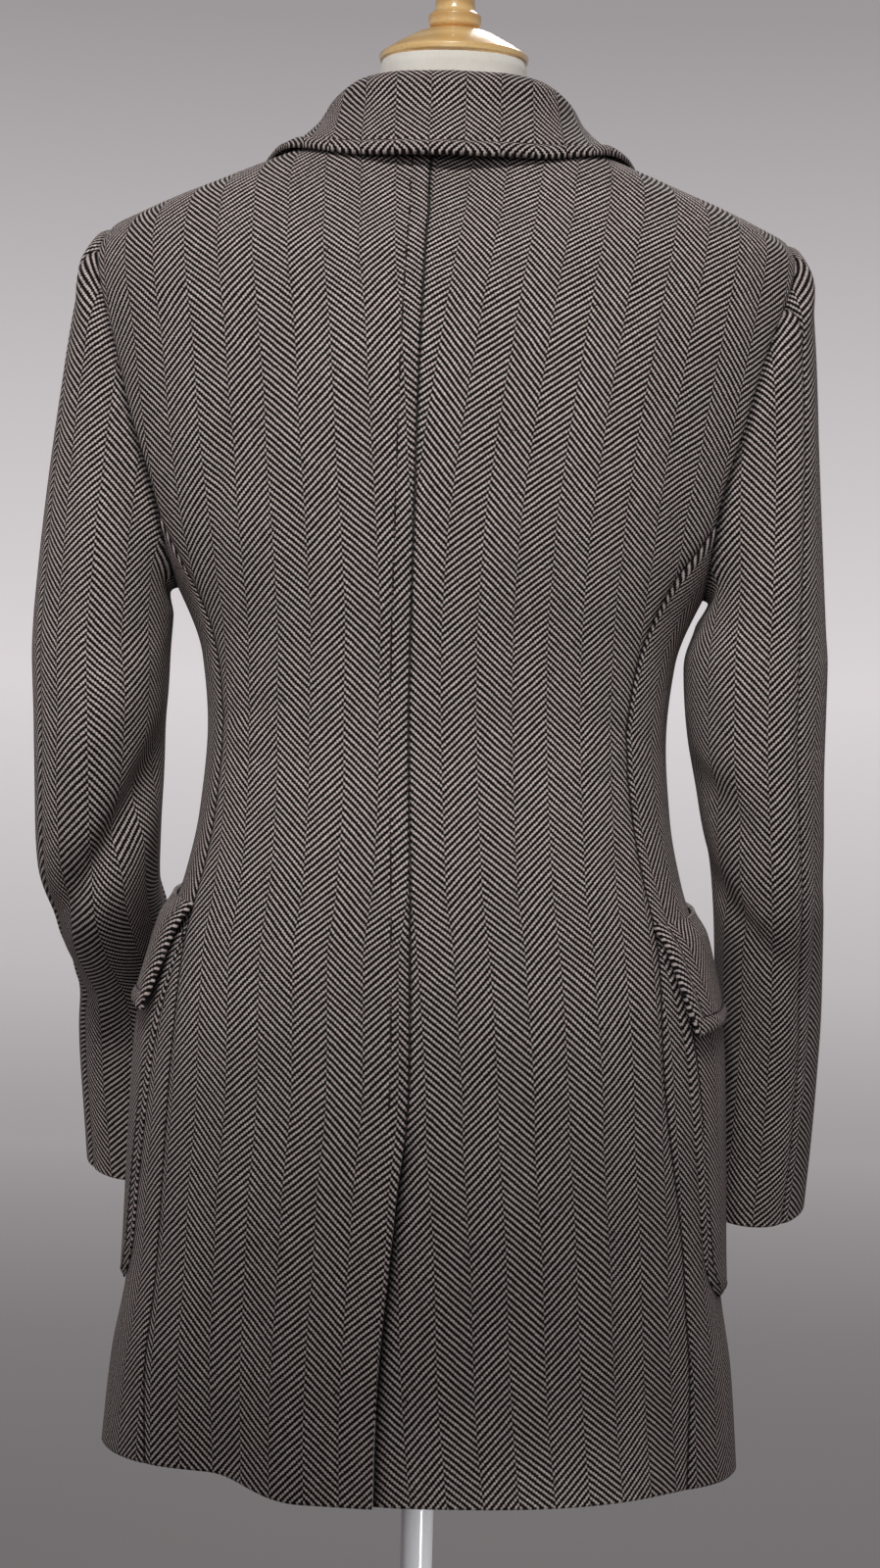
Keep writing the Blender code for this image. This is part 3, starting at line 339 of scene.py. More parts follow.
# Sizes of the grids, the rolled edges, the grain and the stitches.
GRID_WIDTH = {
    "back": 0.19, "side": 0.19, "front": 0.20, "lapel": 0.12, "collar": 0.14, "stand": 0.03,
    "top_sleeve": 0.20, "under_sleeve": 0.14, "pocket": 0.22, "flap": 0.20,
}
FINE_GRID = 0.8
FINER_GRID = 0.7
EDGE_ROLL = {"power": 0.7, "drawn_in": 0.55, "spread": 0.0018}
EDGE_STEPS = np.array([0.0, 0.0007, 0.0016, 0.0028, 0.0044])
GRID_MARGIN = 1e-6
GRAIN_SLOPE = 0.45
GRAIN_LEVELS = 400
GRAIN_EVENING = np.linspace(-0.045, 0.045, 19)
STITCH_LENGTH = 0.86
STITCH_SIDES = 4
STITCH_RINGS = np.array([(-0.5, 0.35, -0.9), (-0.28, 0.95, 0.0), (0.28, 0.95, 0.0), (0.5, 0.35, -0.9)])
SHOULDER_GRID = {"from_seam": 0.012, "finer": 0.42}

# The finishes: scales, soft steps (from, to), changes (times, plus) and relief (height, strength).
WEAVE = {
    "wander_scale": 55.0, "fuzz_scale": 900.0, "fuzz": 0.30, "line_edge": 0.07, "bead": (0.22, 0.50),
    "yarn_scale": (160.0, 900.0, 1.0), "yarn_tones": (0.25, 0.75), "ground_tones": (0.30, 0.80),
    "warp_scale": (700.0, 18.0, 1.0), "warp_tones": (0.35, 0.70), "warmth": 0.35,
    "slub_scale": (130.0, 260.0, 1.0), "slubs": (0.74, 0.80), "slub_darkness": 0.65,
    "cloud_scale": 16.0, "cloud": (0.28, 0.86), "hair_scale": 2600.0, "hair": 0.25, "relief": 0.8,
    "turn": (0.43, 0.50), "roughness": 0.92, "nap_roughness": 0.55, "specular": 0.12,
}
THREAD = {"twist_scale": 2400.0, "roughness": 0.7, "relief": (0.0002, 0.5)}
HORN = {
    "streaks": (90.0, 300.0, 420.0), "streak_roughness": 0.6, "tones": (0.38, 0.66),
    "fine_scale": 1500.0, "gloss": (0.18, 0.24), "relief": (0.0001, 0.4),
}
JERSEY = {
    "course": 0.0011, "wales": 260.0, "course_share": 0.5, "cloud_scale": 30.0, "tones": (0.3, 0.7),
    "roughness": 0.85, "sheen": 0.2, "relief": (0.00015, 0.5),
}
WOOD = {
    "sway_scale": 22.0, "sway": 0.016, "ring_stretch": (1.0, 0.35, 1.0), "ring_scale": 32.0,
    "ring_distortion": 1.2, "pore_scale": (700.0, 60.0, 700.0), "pores": (0.55, 0.75), "pore_share": 0.35,
    "roughness": 0.38, "coat": 0.8, "coat_roughness": 0.12, "relief": (0.0001, 0.25),
}
ENAMEL = {"cloud_scale": 24.0, "gloss": (0.14, 0.16), "fine_scale": 420.0, "relief": (0.00008, 0.3)}
PAPER_ROUGHNESS = 0.95


def smooth(knots, values, at):
    """A smooth curve through the values at the knots, by cubic pieces that never overshoot them."""
    step = np.diff(knots)
    rise = np.diff(values) / step
    slope = np.zeros(len(values))
    slope[0] = rise[0]
    slope[-1] = rise[-1]
    before = rise[:-1]
    after = rise[1:]
    same = before * after > 0
    slope[1:-1][same] = (2 * before * after)[same] / (before + after)[same]
    place = np.clip(np.searchsorted(knots, at, side="right") - 1, 0, len(knots) - 2)
    t = (at - knots[place]) / step[place]
    return (
        values[place] * (1 + 2 * t) * (1 - t) ** 2
        + slope[place] * step[place] * t * (1 - t) ** 2
        + values[place + 1] * t * t * (3 - 2 * t)
        + slope[place + 1] * step[place] * t * t * (t - 1)
    )


def read_column(rows, name, at):
    """One column of a table that starts with its knots, as a smooth curve."""
    return smooth(rows[rows.dtype.names[0]], rows[name], at)


def unit(vectors):
    """Vectors over their own lengths."""
    return vectors / np.maximum(np.linalg.norm(vectors, axis=-1, keepdims=True), TINY)


def halved(low, high, past):
    """The values between two bounds past which a test holds, by halving."""
    for _ in range(HALVINGS):
        middle = (low + high) / 2
        beyond = past(middle)
        high = np.where(beyond, middle, high)
        low = np.where(beyond, low, middle)
    return (low + high) / 2


def ease(t):
    """A step from 0 to 1 with level ends: 3t squared less 2t cubed."""
    t = np.clip(t, 0.0, 1.0)
    return t * t * (3 - 2 * t)


def hump(distance, spread):
    """A bell of height 1: e to the power of minus the squared distance over the spread."""
    return np.exp(-((distance / spread) ** 2))


def turn_from(angle, degrees):
    """How far an angle lies from a number of degrees, from -180 to 180."""
    return np.mod(np.degrees(angle) - degrees + 180, 360) - 180


def fullness(angle, z):
    """How much wider than an ellipse a ring is between its axes: most of all at the shoulder."""
    rise = ease((z - FULLER_FROM_Z) / (SHOULDER_Z - FULLER_FROM_Z))
    fall = ease((z - LESS_FULL_FROM_Z) / (NECK_Z - LESS_FULL_FROM_Z))
    return 1 + (RING_FULLNESS + SHOULDER_FULLNESS * rise * (1 - fall)) * np.sin(2 * angle) ** 2


def ring_point(rings, angle, z):
    """A point of a ring: half an ellipse for the back, half for the front, a little full between."""
    half = read_column(rings, "half", z)
    back = read_column(rings, "back", z)
    front = read_column(rings, "front", z)
    depth = np.where(np.sin(angle) >= 0, back, front)
    full = fullness(angle, z)
    return np.stack([half * np.cos(angle) * full, depth * np.sin(angle) * full, z + 0 * angle], axis=-1)


def soften_shoulder(point, angle, z):
    """Eases the ring's width over nearby heights, away from the shoulder seam, so that no ridge shows."""
    half = read_column(BODY, "half", z)
    near = [np.clip(z + shift, BODY["z"][0], BODY["z"][-1]) for shift in SHOULDER_SOFTNESS]
    soft = sum(read_column(BODY, "half", level) for level in near) / len(near)
    share = ease(np.abs(np.sin(angle)) / SOFT_FROM_SIDE)
    point[..., 0] *= 1 + (soft / half - 1) * share
    return point


def flutes(angle, z):
    """The flutes of the skirt, as a share of the ring's size, deepest at the hem."""
    total = 0 * angle
    for flute in FLUTES:
        depth = flute["depth"] * ease((flute["top"] - z) / (flute["top"] - HEM_Z))
        total = total + depth * hump(turn_from(angle, flute["angle"]), flute["spread"])
    return total / BODY["half"][0]


def hem_lift(angle, z):
    """How far the hem rides up at each side, more at the wearer's left."""
    total = 0 * angle
    for lift in HEM_LIFTS:
        round_side = 1 - ease((np.abs(turn_from(angle, lift["angle"])) - lift["spread"]) / lift["fade"])
        total = total + lift["height"] * round_side * ease((lift["top"] - z) / (lift["top"] - HEM_Z))
    return total


def body(angle, z):
    """A point of the coat's body: its ring, softened at the shoulder, with the skirt's flutes and lift."""
    point = soften_shoulder(ring_point(BODY, angle, z), angle, z)
    point[..., :2] *= (1 + flutes(angle, z))[..., None]
    point[..., 2] += hem_lift(angle, z)
    return point


def body_creases(angle, z):
    """The creases of the body: bells drawn out along a leaning line, added together."""
    total = 0 * angle
    for crease in BODY_CREASES:
        aside = np.radians(turn_from(angle, crease["angle"])) * CREASE_RADIUS
        above = z - crease["z"]
        lean = math.radians(crease["lean"])
        along = aside * math.cos(lean) + above * math.sin(lean)
        across = above * math.cos(lean) - aside * math.sin(lean)
        total = total + crease["depth"] * hump(along, crease["length"]) * hump(across, crease["width"])
    return total


def surface_normal(surface, p, q):
    """The unit normal of a surface, from the cross of its differences both ways."""
    along_p = surface(p + STEP, q) - surface(p - STEP, q)
    along_q = surface(p, q + STEP) - surface(p, q - STEP)
    return unit(np.cross(along_p, along_q))


def angle_at_x(x, z):
    """The angle, from 0 to half a turn, at which the body ring at a height has this x, by halving."""
    share = x / read_column(BODY, "half", z)
    bounds = (np.zeros(np.shape(share)), np.full(np.shape(share), math.pi))
    return halved(*bounds, lambda angle: np.cos(angle) * fullness(angle, z) < share)


def angle_at_depth(y, z, face):
    """The angle, up to a quarter turn, at which the body ring at a height is this deep, by halving."""
    share = y / read_column(BODY, face, z)
    bounds = (np.zeros(np.shape(share)), np.full(np.shape(share), math.pi / 2))
    return halved(*bounds, lambda angle: np.sin(angle) * fullness(angle, z) > share)


def set_side(angle, side):
    """An angle measured from the wearer's left side, or the same from the right side."""
    return angle if side == "left" else math.pi - angle


def armhole_depth(z, width):
    """How deep the armhole's rounded edge is at a height."""
    centre = (SHOULDER_Z + ARMHOLE_BOTTOM_Z) / 2
    reach = (SHOULDER_Z - ARMHOLE_BOTTOM_Z) / 2
    share = np.clip(np.abs(z - centre) / reach, 0.0, 1.0) ** ARMHOLE_POWER
    return width * (1 - share) ** (1 / ARMHOLE_POWER)


def armhole_angle(z, side, face):
    """How far round from the side the armhole's edge lies at a height."""
    width = (ARMHOLE_BACK if face == "back" else ARMHOLE_FRONT)[side]
    return angle_at_depth(armhole_depth(z, width), z, face)


def outer_edge(z, side, face):
    """The outer edge of a back or front: up the side seam, round the armhole and along the shoulder."""
    column = side if face == "back" else "front"
    join = armhole_angle(np.array([JOIN_Z]), side, face)
    knots = np.append(SIDE_SEAMS["z"], JOIN_Z)
    seam = smooth(knots, np.append(np.radians(SIDE_SEAMS[column]), join), np.minimum(z, JOIN_Z))
    armhole = armhole_angle(np.clip(z, JOIN_Z, SHOULDER_Z), side, face)
    return np.where(z < JOIN_Z, seam, np.where(z < SHOULDER_Z, armhole, 0.0))


def inset(surface, p, q, distance):
    """The change of p that moves a point this far along the surface."""
    speed = np.linalg.norm(surface(p + STEP, q) - surface(p - STEP, q), axis=-1) / (2 * STEP)
    return distance / speed


def centre_back(z):
    """The angle of the centre-back seam at a height."""
    return angle_at_x(read_column(CENTRE_SEAM, "x", z), z)


def front_edge(z):
    """How far past the centre a front reaches: its lap, then along the roll line to the neck."""
    up = np.clip((z - BREAK_Z) / (NECK_Z - BREAK_Z), 0.0, 1.0)
    return FRONT_LAP - (FRONT_LAP + NECK_SIDE_X) * up


def front_angle(x, z):
    """The angle on the coat's front at which the body has this x."""
    return -angle_at_x(x, z)


def over_lift(angle, z):
    """How far the upper front stands out, where the under front lies beneath it."""
    x = body(angle, z)[..., 0]
    return LAYER * ease((x + front_edge(z) + LAP_RAMP) / (LAP_RAMP - LAP_FULL))


def side_angle(share, z, side):
    """The angle from the wearer's side at a share of the side panel's width, back seam to front seam."""
    rear = outer_edge(z, side, "back")
    fore = -outer_edge(z, side, "front")
    return rear + (fore - rear) * share


def armhole_bottom(share, side):
    """The height at which a line up the side panel meets the armhole, found by halving."""

    def inside(z):
        y = ring_point(BODY, side_angle(share, z, side), z)[..., 1]
        width = np.where(y >= 0, ARMHOLE_BACK[side], ARMHOLE_FRONT[side])
        return np.abs(y) < armhole_depth(z, width)

    low = np.full(share.shape, ARMHOLE_BOTTOM_Z + ARMHOLE_FOOT)
    return halved(low, np.full(share.shape, JOIN_Z), inside)


def lapel_edge(z):
    """The lapel's outer edge, as a distance from the centre line: up to its corner, then the gorge."""
    up = np.clip((z - BREAK_Z) / (LAPEL_TIP_Z - BREAK_Z), 0.0, 1.0)
    rising = -FRONT_LAP + (LAPEL_TIP_X + FRONT_LAP) * up**LAPEL_BOW
    over = np.clip((z - LAPEL_TIP_Z) / (GORGE_TOP_Z - LAPEL_TIP_Z), 0.0, 1.0)
    return np.where(z < LAPEL_TIP_Z, rising, LAPEL_TIP_X + (GORGE_TOP_X - LAPEL_TIP_X) * over)


def collar_line(name, station):
    """A point of the collar's roll or edge line at a station, mirrored about the centre back."""
    near = np.abs(station)
    x = read_column(COLLAR, name + "_x", near) * np.sign(station)
    y = read_column(COLLAR, name + "_y", near)
    z = read_column(COLLAR, name + "_z", near)
    return np.stack([x, y, z], axis=-1)


def rest_on_body(point):
    """Points eased out along the body's normal until they clear the coat under the collar."""
    level = np.minimum(point[..., 2], BODY["z"][-1] - 2 * STEP)
    half = read_column(BODY, "half", level)
    face = np.where(point[..., 1] >= 0, read_column(BODY, "back", level),
                    read_column(BODY, "front", level))
    angle = np.arctan2(point[..., 1] / face, point[..., 0] / half)
    normal = surface_normal(body, angle, level)
    short = COLLAR_CLEAR - np.sum((point - body(angle, level)) * normal, axis=-1)
    push = COLLAR_SOFTNESS * np.logaddexp(0.0, short / COLLAR_SOFTNESS)
    return point + normal * push[..., None]


def collar(station, across):
    """The collar: from its lip inside the neck, over the roll line and down to its edge."""
    roll = collar_line("roll", station)
    edge = collar_line("edge", station)
    out = edge - roll
    out[..., 2] = 0.0
    out = unit(out)
    section = COLLAR_SECTION
    fall = read_column(section, "fall", across)
    shift = read_column(section, "out", across)
    rise = read_column(section, "up", across)
    point = roll + (edge - roll) * fall[..., None] + out * shift[..., None]
    point[..., 2] += rise
    point[..., 2] -= COLLAR_END_SAG * np.sin(math.pi * fall) * ease(np.abs(station) - SAG_FROM_STATION)
    return rest_on_body(point)


def collar_stand(station, across):
    """The collar stand: a strip from the neck seam up inside the roll of the collar."""
    roll = collar_line("roll", station)
    top = roll - np.array([0.0, 0.0, STAND["drop"]])
    angle = np.radians(90.0) - np.arctan2(roll[..., 0], roll[..., 1] + STAND["forward"])
    neck = ring_point(BODY, angle, np.full(angle.shape, NECK_Z + STAND["above_neck"]))
    neck[..., :2] *= STAND["inside_neck"]
    return neck + (top - neck) * across[..., None]


def sleeve_ring(side, angle, station):
    """A point of a sleeve below the biceps: an oval about a bent centre line, leaning with it."""
    rings = SLEEVES[side]
    count = np.arange(1.0, len(rings) + 1)
    at = np.clip(station, 1.0, len(rings))
    part = {name: smooth(count, rings[name], at) for name in rings.dtype.names}
    lean = np.radians(part["lean"])
    deep = part["deep"] * np.sin(angle)
    x = part["x"] + part["across"] * np.cos(angle)
    y = part["y"] + deep * np.cos(lean)
    z = part["z"] - deep * np.sin(lean)
    return np.stack([x, y, z], axis=-1)


def armhole_ring(side, angle):
    """A point of the armhole, a little inside its edge, for the sleeve to start from."""
    turn = np.sin(angle)
    rise = np.cos(angle)
    round_by = 2 / ARMHOLE_POWER
    width = np.where(turn >= 0, ARMHOLE_BACK[side], ARMHOLE_FRONT[side]) - ARMHOLE_SHRINK
    reach = (SHOULDER_Z - ARMHOLE_BOTTOM_Z) / 2 - ARMHOLE_SHRINK
    y = width * np.abs(turn) ** round_by
    z = (SHOULDER_Z + ARMHOLE_BOTTOM_Z) / 2 + reach * np.sign(rise) * np.abs(rise) ** round_by
    behind = angle_at_depth(y, z, "back")
    ahead = -angle_at_depth(y, z, "front")
    return body(np.where(turn >= 0, behind, ahead), z)


def sleeve_shape(side, angle, station):
    """The sleeve: a cap on cubic curves from the armhole to the biceps, then the ovals to the cuff."""
    start = armhole_ring(side, angle)
    end = sleeve_ring(side, angle, np.ones_like(station))
    down = sleeve_ring(side, angle, np.full(station.shape, CAP_ARRIVE["after_biceps"])) - end
    down = unit(down)
    down[..., 0] += CAP_LEAN[side] * np.cos(angle)
    top = np.cos(angle)
    out = CAP_LEAVE["out"] + CAP_LEAVE["more_on_top"] * top
    leave = np.stack([out, 0 * top, CAP_LEAVE["up_on_top"] * top], axis=-1)
    arrive = (CAP_ARRIVE["length"] + CAP_ARRIVE["more_on_top"] * top)[..., None] * down
    t = np.clip(station, 0.0, 1.0)[..., None]
    first = start + leave
    second = end - arrive
    cap = start * (1 - t) ** 3 + 3 * first * t * (1 - t) ** 2 + 3 * second * t * t * (1 - t) + end * t**3
    return np.where(station[..., None] < 1.0, cap, sleeve_ring(side, angle, station))


def sleeve_creases(side, angle, station):
    """The sleeve's folds: bells that run slantwise round it, added together."""
    total = 0 * angle
    for crease in SLEEVE_CREASES[side]:
        turn = turn_from(angle, crease["angle"])
        run = station - crease["station"] + turn / CREASE_SLANT
        total = total + crease["depth"] * hump(turn, crease["spread"]) * hump(run, crease["run"])
    return total


def shares(length, step):
    """Shares from 0 to 1 an even step apart, with a few closer ones at each end."""
    ends = EDGE_STEPS / length
    middle = np.linspace(ends[-1], 1 - ends[-1], max(2, int(round(length / step))))
    return np.concatenate([ends[:-1], middle, 1 - ends[-2::-1]])


def grid_normal(points, centre):
    """The unit normal of a grid, from its differences both ways, turned away from a centre."""
    normal = unit(np.cross(np.gradient(points, axis=1), np.gradient(points, axis=0)))
    return normal * np.sign(np.mean(np.sum(normal * (points - centre), axis=-1)))


def run_length(points, axis):
    """The length along the grid's lines from its first point, added up step by step."""
    step = np.linalg.norm(np.diff(points, axis=axis), axis=-1)
    start = np.zeros_like(np.take(step, [0], axis=axis))
    return np.concatenate([start, np.cumsum(step, axis=axis)], axis=axis)


def from_axis(points):
    """The point of the coat's upright axis level with each point."""
    return points * np.array([0.0, 0.0, 1.0])


def middle_values(values, share):
    """The values of each row of a grid at half its width, read between its columns."""
    right = np.clip(np.searchsorted(share, 0.5), 1, len(share) - 1)
    t = (0.5 - share[right - 1]) / (share[right] - share[right - 1])
    return values[:, right - 1] + (values[:, right] - values[:, right - 1]) * t


def evened(z, values):
    """Values given at rising heights, each the mean of those a little below and above."""
    return np.mean([np.interp(z + off, z, values) for off in GRAIN_EVENING], axis=0)


class Sheet:
    """A grid of cloth: its base points and normals, and its lengths across and down."""

    def __init__(self, points, centre=None):
        self.base = points
        self.normal = grid_normal(points, from_axis(points) if centre is None else centre)
        self.across = run_length(points, 1)
        self.down = run_length(points, 0)
        self.lift = np.zeros(points.shape[:2])
        # Painted shade at each point: how much of the cloth's colour is taken away along seams, beside the
        # vent's lapped edge and round the armhole.
        self.shade = np.zeros(points.shape[:2])

    def from_last_column(self):
        """The length along each row to its last point."""
        return self.across[:, -1:] - self.across

    def from_last_row(self):
        """The length along each column to its last point."""
        return self.down[-1:] - self.down

    def outer(self):
        """The points of the cloth's outer side."""
        return self.base + self.normal * self.lift[..., None]

    def press(self, distance, look, share=1.0):
        """Adds a pressed seam by the distance from it: a bell of a hollow, and a narrower bell of painted
        shade.
        """
        self.lift -= look.seam_depth * hump(distance, look.seam_spread) * share
        self.shade += hump(distance, look.painted_seam_shade_width) * share

    def grain(self, middle, level):
        """Lengths across and down the cloth, from a grain line given in each row and from one row."""
        return np.stack([self.across - middle[:, None], self.down - self.down[level]], axis=-1)

    def upright_grain(self, middle, share):
        """Lengths across from a grain line, and up: the height and some of the line's evened slope."""
        line = middle_values(self.base, share)
        slope = run_length(line, 0) - (line[:, 2] - line[0, 2])
        up = self.base[..., 2] + GRAIN_SLOPE * evened(line[:, 2], slope)[:, None]
        return np.stack([self.across - middle[:, None], up - WAIST_Z], axis=-1)


def new_object(name, points, faces, material, grain=None, shade=None):
    """A smooth-shaded mesh from points and arrays of faces, with its lengths as a UV map and its painted
    shade as an attribute.
    """
    corners = np.concatenate([some.ravel() for some in faces])
    sizes = np.concatenate([np.full(len(some), some.shape[1]) for some in faces])
    mesh = bpy.data.meshes.new(name)
    mesh.vertices.add(len(points))
    mesh.vertices.foreach_set("co", np.ascontiguousarray(points, dtype=np.float32).ravel())
    mesh.loops.add(len(corners))
    mesh.loops.foreach_set("vertex_index", corners.astype(np.int32))
    mesh.polygons.add(len(sizes))
    mesh.polygons.foreach_set("loop_start", (np.cumsum(sizes) - sizes).astype(np.int32))
    mesh.polygons.foreach_set("use_smooth", np.ones(len(sizes), dtype=bool))
    mesh.update(calc_edges=True)
    if grain is not None:
        layer = mesh.uv_layers.new(name="grain")
        layer.data.foreach_set("uv", grain[corners].astype(np.float32).ravel())
    if shade is not None:
        dark = mesh.attributes.new("shade", "FLOAT", "POINT")
        dark.data.foreach_set("value", shade.astype(np.float32))
    mesh.validate()
    mesh.materials.append(material)
    thing = bpy.data.objects.new(name, mesh)
    bpy.context.scene.collection.objects.link(thing)
    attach(thing, BODY_NAME)
    return thing


def grid_faces(index):
    """The four-cornered faces of a grid of point numbers."""
    cells = [index[:-1, :-1], index[:-1, 1:], index[1:, 1:], index[1:, :-1]]
    return np.stack(cells, axis=-1).reshape(-1, 4)


def rim_loop(rows, columns):
    """The point numbers round a grid's edge, those just inside them, and the side each is on."""
    index = np.arange(rows * columns).reshape(rows, columns)
    edge = [index[0, :-1], index[:-1, -1], index[-1, :0:-1], index[:0:-1, 0]]
    inside = [index[1, :-1], index[:-1, -2], index[-2, :0:-1], index[:0:-1, 1]]
    side = [np.full(len(part), number) for number, part in enumerate(edge)]
    return np.concatenate(edge), np.concatenate(inside), np.concatenate(side)


def cloth_wall(name, sheet, grain, material, free, thickness):
    """A closed cloth wall: the sheet's outer points, the same moved in, and a rounded rim.

    The rim's middle bulges away from the sheet, by half the thickness, on its free sides: first row, last
    column, last row and first column.
    """
    outer = sheet.outer()
    rows, columns = outer.shape[:2]
    edge, inside, side = rim_loop(rows, columns)
    inner = (outer - sheet.normal * thickness).reshape(-1, 3)
    outer = outer.reshape(-1, 3)
    middle = (outer + inner) / 2
    away = unit(middle[edge] - middle[inside])
    bulge = np.array(free, dtype=float)[side] * thickness / 2
    rim = middle[edge] + away * bulge[:, None]
    count = rows * columns
    top = grid_faces(np.arange(count).reshape(rows, columns))
    around = np.arange(len(edge)) + 2 * count
    upper = np.stack([edge, around, np.roll(around, -1), np.roll(edge, -1)], axis=-1)
    lower = np.stack([around, edge + count, np.roll(edge, -1) + count, np.roll(around, -1)], axis=-1)
    faces = np.concatenate([top, top[:, ::-1] + count, upper, lower])
    points = np.concatenate([outer, inner, rim])
    first = top[len(top) // 2]
    facing = np.cross(points[first[2]] - points[first[0]], points[first[3]] - points[first[1]])
    if np.dot(facing, points[first[0]] - points[first[0] + count]) < 0:
        faces = faces[:, ::-1]
    flat = grain.reshape(-1, 2)
    grains = np.concatenate([flat, flat, flat[edge]])
    shade = sheet.shade.ravel()
    shades = np.concatenate([shade, shade, shade[edge]])
    return new_object(name + CLOTH_NAME, points, [faces], material, grains, shades)


def cut_piece(context, name, sheet, grain, free, thickness=CLOTH):
    """A cut piece of the coat in its tweed, with the imported part of its name hidden."""
    tweed = made_material("herringbone_tweed", herringbone, context.scene.coat_cloth)
    thing = cloth_wall(name, sheet, grain, tweed, free, thickness)
    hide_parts(name)


def edge_roll(distance, inset_by, puff):
    """A turned and stitched edge: full between the edge and its stitches, drawn in at the stitches."""
    full = np.sin(math.pi * np.clip(distance / inset_by, 0.0, 1.0)) ** EDGE_ROLL["power"]
    return puff * (full - EDGE_ROLL["drawn_in"] * hump(distance - inset_by, EDGE_ROLL["spread"]))


def level_lengths(points, first, levels):
    """For each point of a grid, the length along the level line through it from one of its columns.

    Each column is cut at even heights; the cuts at one height, joined in turn, are a level line.
    """
    fall = np.minimum.accumulate(points[..., 2], axis=0)[::-1]
    height = np.linspace(fall.min(), fall.max(), levels)
    columns = range(points.shape[1])
    cuts = [[np.interp(height, fall[:, j], points[::-1, j, k]) for k in (0, 1)] for j in columns]
    length = run_length(np.moveaxis(np.array(cuts), 1, -1), 0)
    length = length - length[first]
    return np.stack([np.interp(points[:, j, 2], height, length[j]) for j in columns], axis=1)


def path_at(sheet, row_share, column_share):
    """Points and normals of a sheet's outer side at fractional rows and columns of its grid."""
    rows, columns = sheet.base.shape[:2]
    r = np.clip(row_share, 0, rows - 1 - GRID_MARGIN)
    c = np.clip(column_share, 0, columns - 1 - GRID_MARGIN)
    r0 = r.astype(int)
    c0 = c.astype(int)
    a = (r - r0)[:, None]
    b = (c - c0)[:, None]

    def read(grid):
        low = grid[r0, c0] * (1 - b) + grid[r0, c0 + 1] * b
        high = grid[r0 + 1, c0] * (1 - b) + grid[r0 + 1, c0 + 1] * b
        return low * (1 - a) + high * a

    return read(sheet.outer()), read(sheet.normal)


def column_at(across, distance):
    """For each row, the fractional column at a length from the row's first point."""
    right = np.clip((across < distance).sum(axis=1), 1, across.shape[1] - 1)
    row = np.arange(len(across))
    before = across[row, right - 1]
    after = across[row, right]
    return right - 1 + np.clip((distance - before) / np.maximum(after - before, TINY), 0.0, 1.0)


def along_columns(sheet, distance, last=False):
    """The line down a sheet at a length from its first or last column."""
    rows, columns = sheet.base.shape[:2]
    if last:
        column = columns - 1 - column_at(sheet.from_last_column()[:, ::-1], distance)
    else:
        column = column_at(sheet.across, distance)
    return path_at(sheet, np.arange(rows, dtype=float), column)


def along_rows(sheet, distance, last=False):
    """The line across a sheet at a length from its first or last row."""
    rows, columns = sheet.base.shape[:2]
    if last:
        row = rows - 1 - column_at(sheet.from_last_row()[::-1].T, distance)
    else:
        row = column_at(sheet.down.T, distance)
    return path_at(sheet, row, np.arange(columns, dtype=float))


def stitch_mesh(line, look):
    """Stitches along a line: a short round-ended bead for each, sunk at both ends into the cloth.

    The line's points are read off at even lengths; each bead is the same few rings, laid along the
    line's direction, with its width across it and its height on the cloth's normal.
    """
    points, normals = line
    length = run_length(points, 0)
    count = max(2, int(length[-1] / look.stitch_pitch))
    at = (np.arange(count) + 0.5) * length[-1] / count
    place = np.stack([np.interp(at, length, points[:, k]) for k in range(3)], axis=-1)
    up = unit(np.stack([np.interp(at, length, normals[:, k]) for k in range(3)], axis=-1))
    ahead = unit(np.gradient(place, axis=0))
    aside = np.cross(up, ahead)
    turn = np.linspace(0.0, 2 * math.pi, STITCH_SIDES, endpoint=False)
    radius = look.stitch_width / 2
    run = np.repeat(STITCH_RINGS[:, :1] * look.stitch_pitch * STITCH_LENGTH, STITCH_SIDES, axis=1)
    wide = STITCH_RINGS[:, 1:2] * radius * np.cos(turn)
    high = STITCH_RINGS[:, 1:2] * radius * np.sin(turn) + STITCH_RINGS[:, 2:] * radius
    template = np.stack([run, wide, high], axis=-1).reshape(-1, 3)
    axes = np.stack([ahead, aside, up], axis=1)
    beads = np.einsum("tk,nkx->ntx", template, axes) + place[:, None, :]
    rings = len(STITCH_RINGS)
    index = np.arange(rings * STITCH_SIDES).reshape(rings, STITCH_SIDES)
    index = np.concatenate([index, index[:, :1]], axis=1)
    ends = np.stack([index[0, :-1], index[-1, STITCH_SIDES - 1::-1]])
    faces = np.concatenate([grid_faces(index)[:, ::-1], ends])
    offset = np.arange(count)[:, None, None] * len(template)
    return beads.reshape(-1, 3), (faces[None] + offset).reshape(-1, 4)


def stitches(context, name, lines):
    """One piece from all the stitch lines of a sewn edge."""
    look = context.scene.coat_sewing
    points = []
    faces = []
    total = 0
    for line in lines:
        some_points, some_faces = stitch_mesh(line, look)
        points.append(some_points)
        faces.append(some_faces + total)
        total += len(some_points)
    thread = made_material("sewing_thread", sewing_thread, look)
    new_object(name, np.concatenate(points), faces, thread)


def trimmed(line, start, end):
    """A line without this length at its start and end."""
    points, normals = line
    length = run_length(points, 0)
    keep = (length >= start) & (length <= length[-1] - end)
    return points[keep], normals[keep]


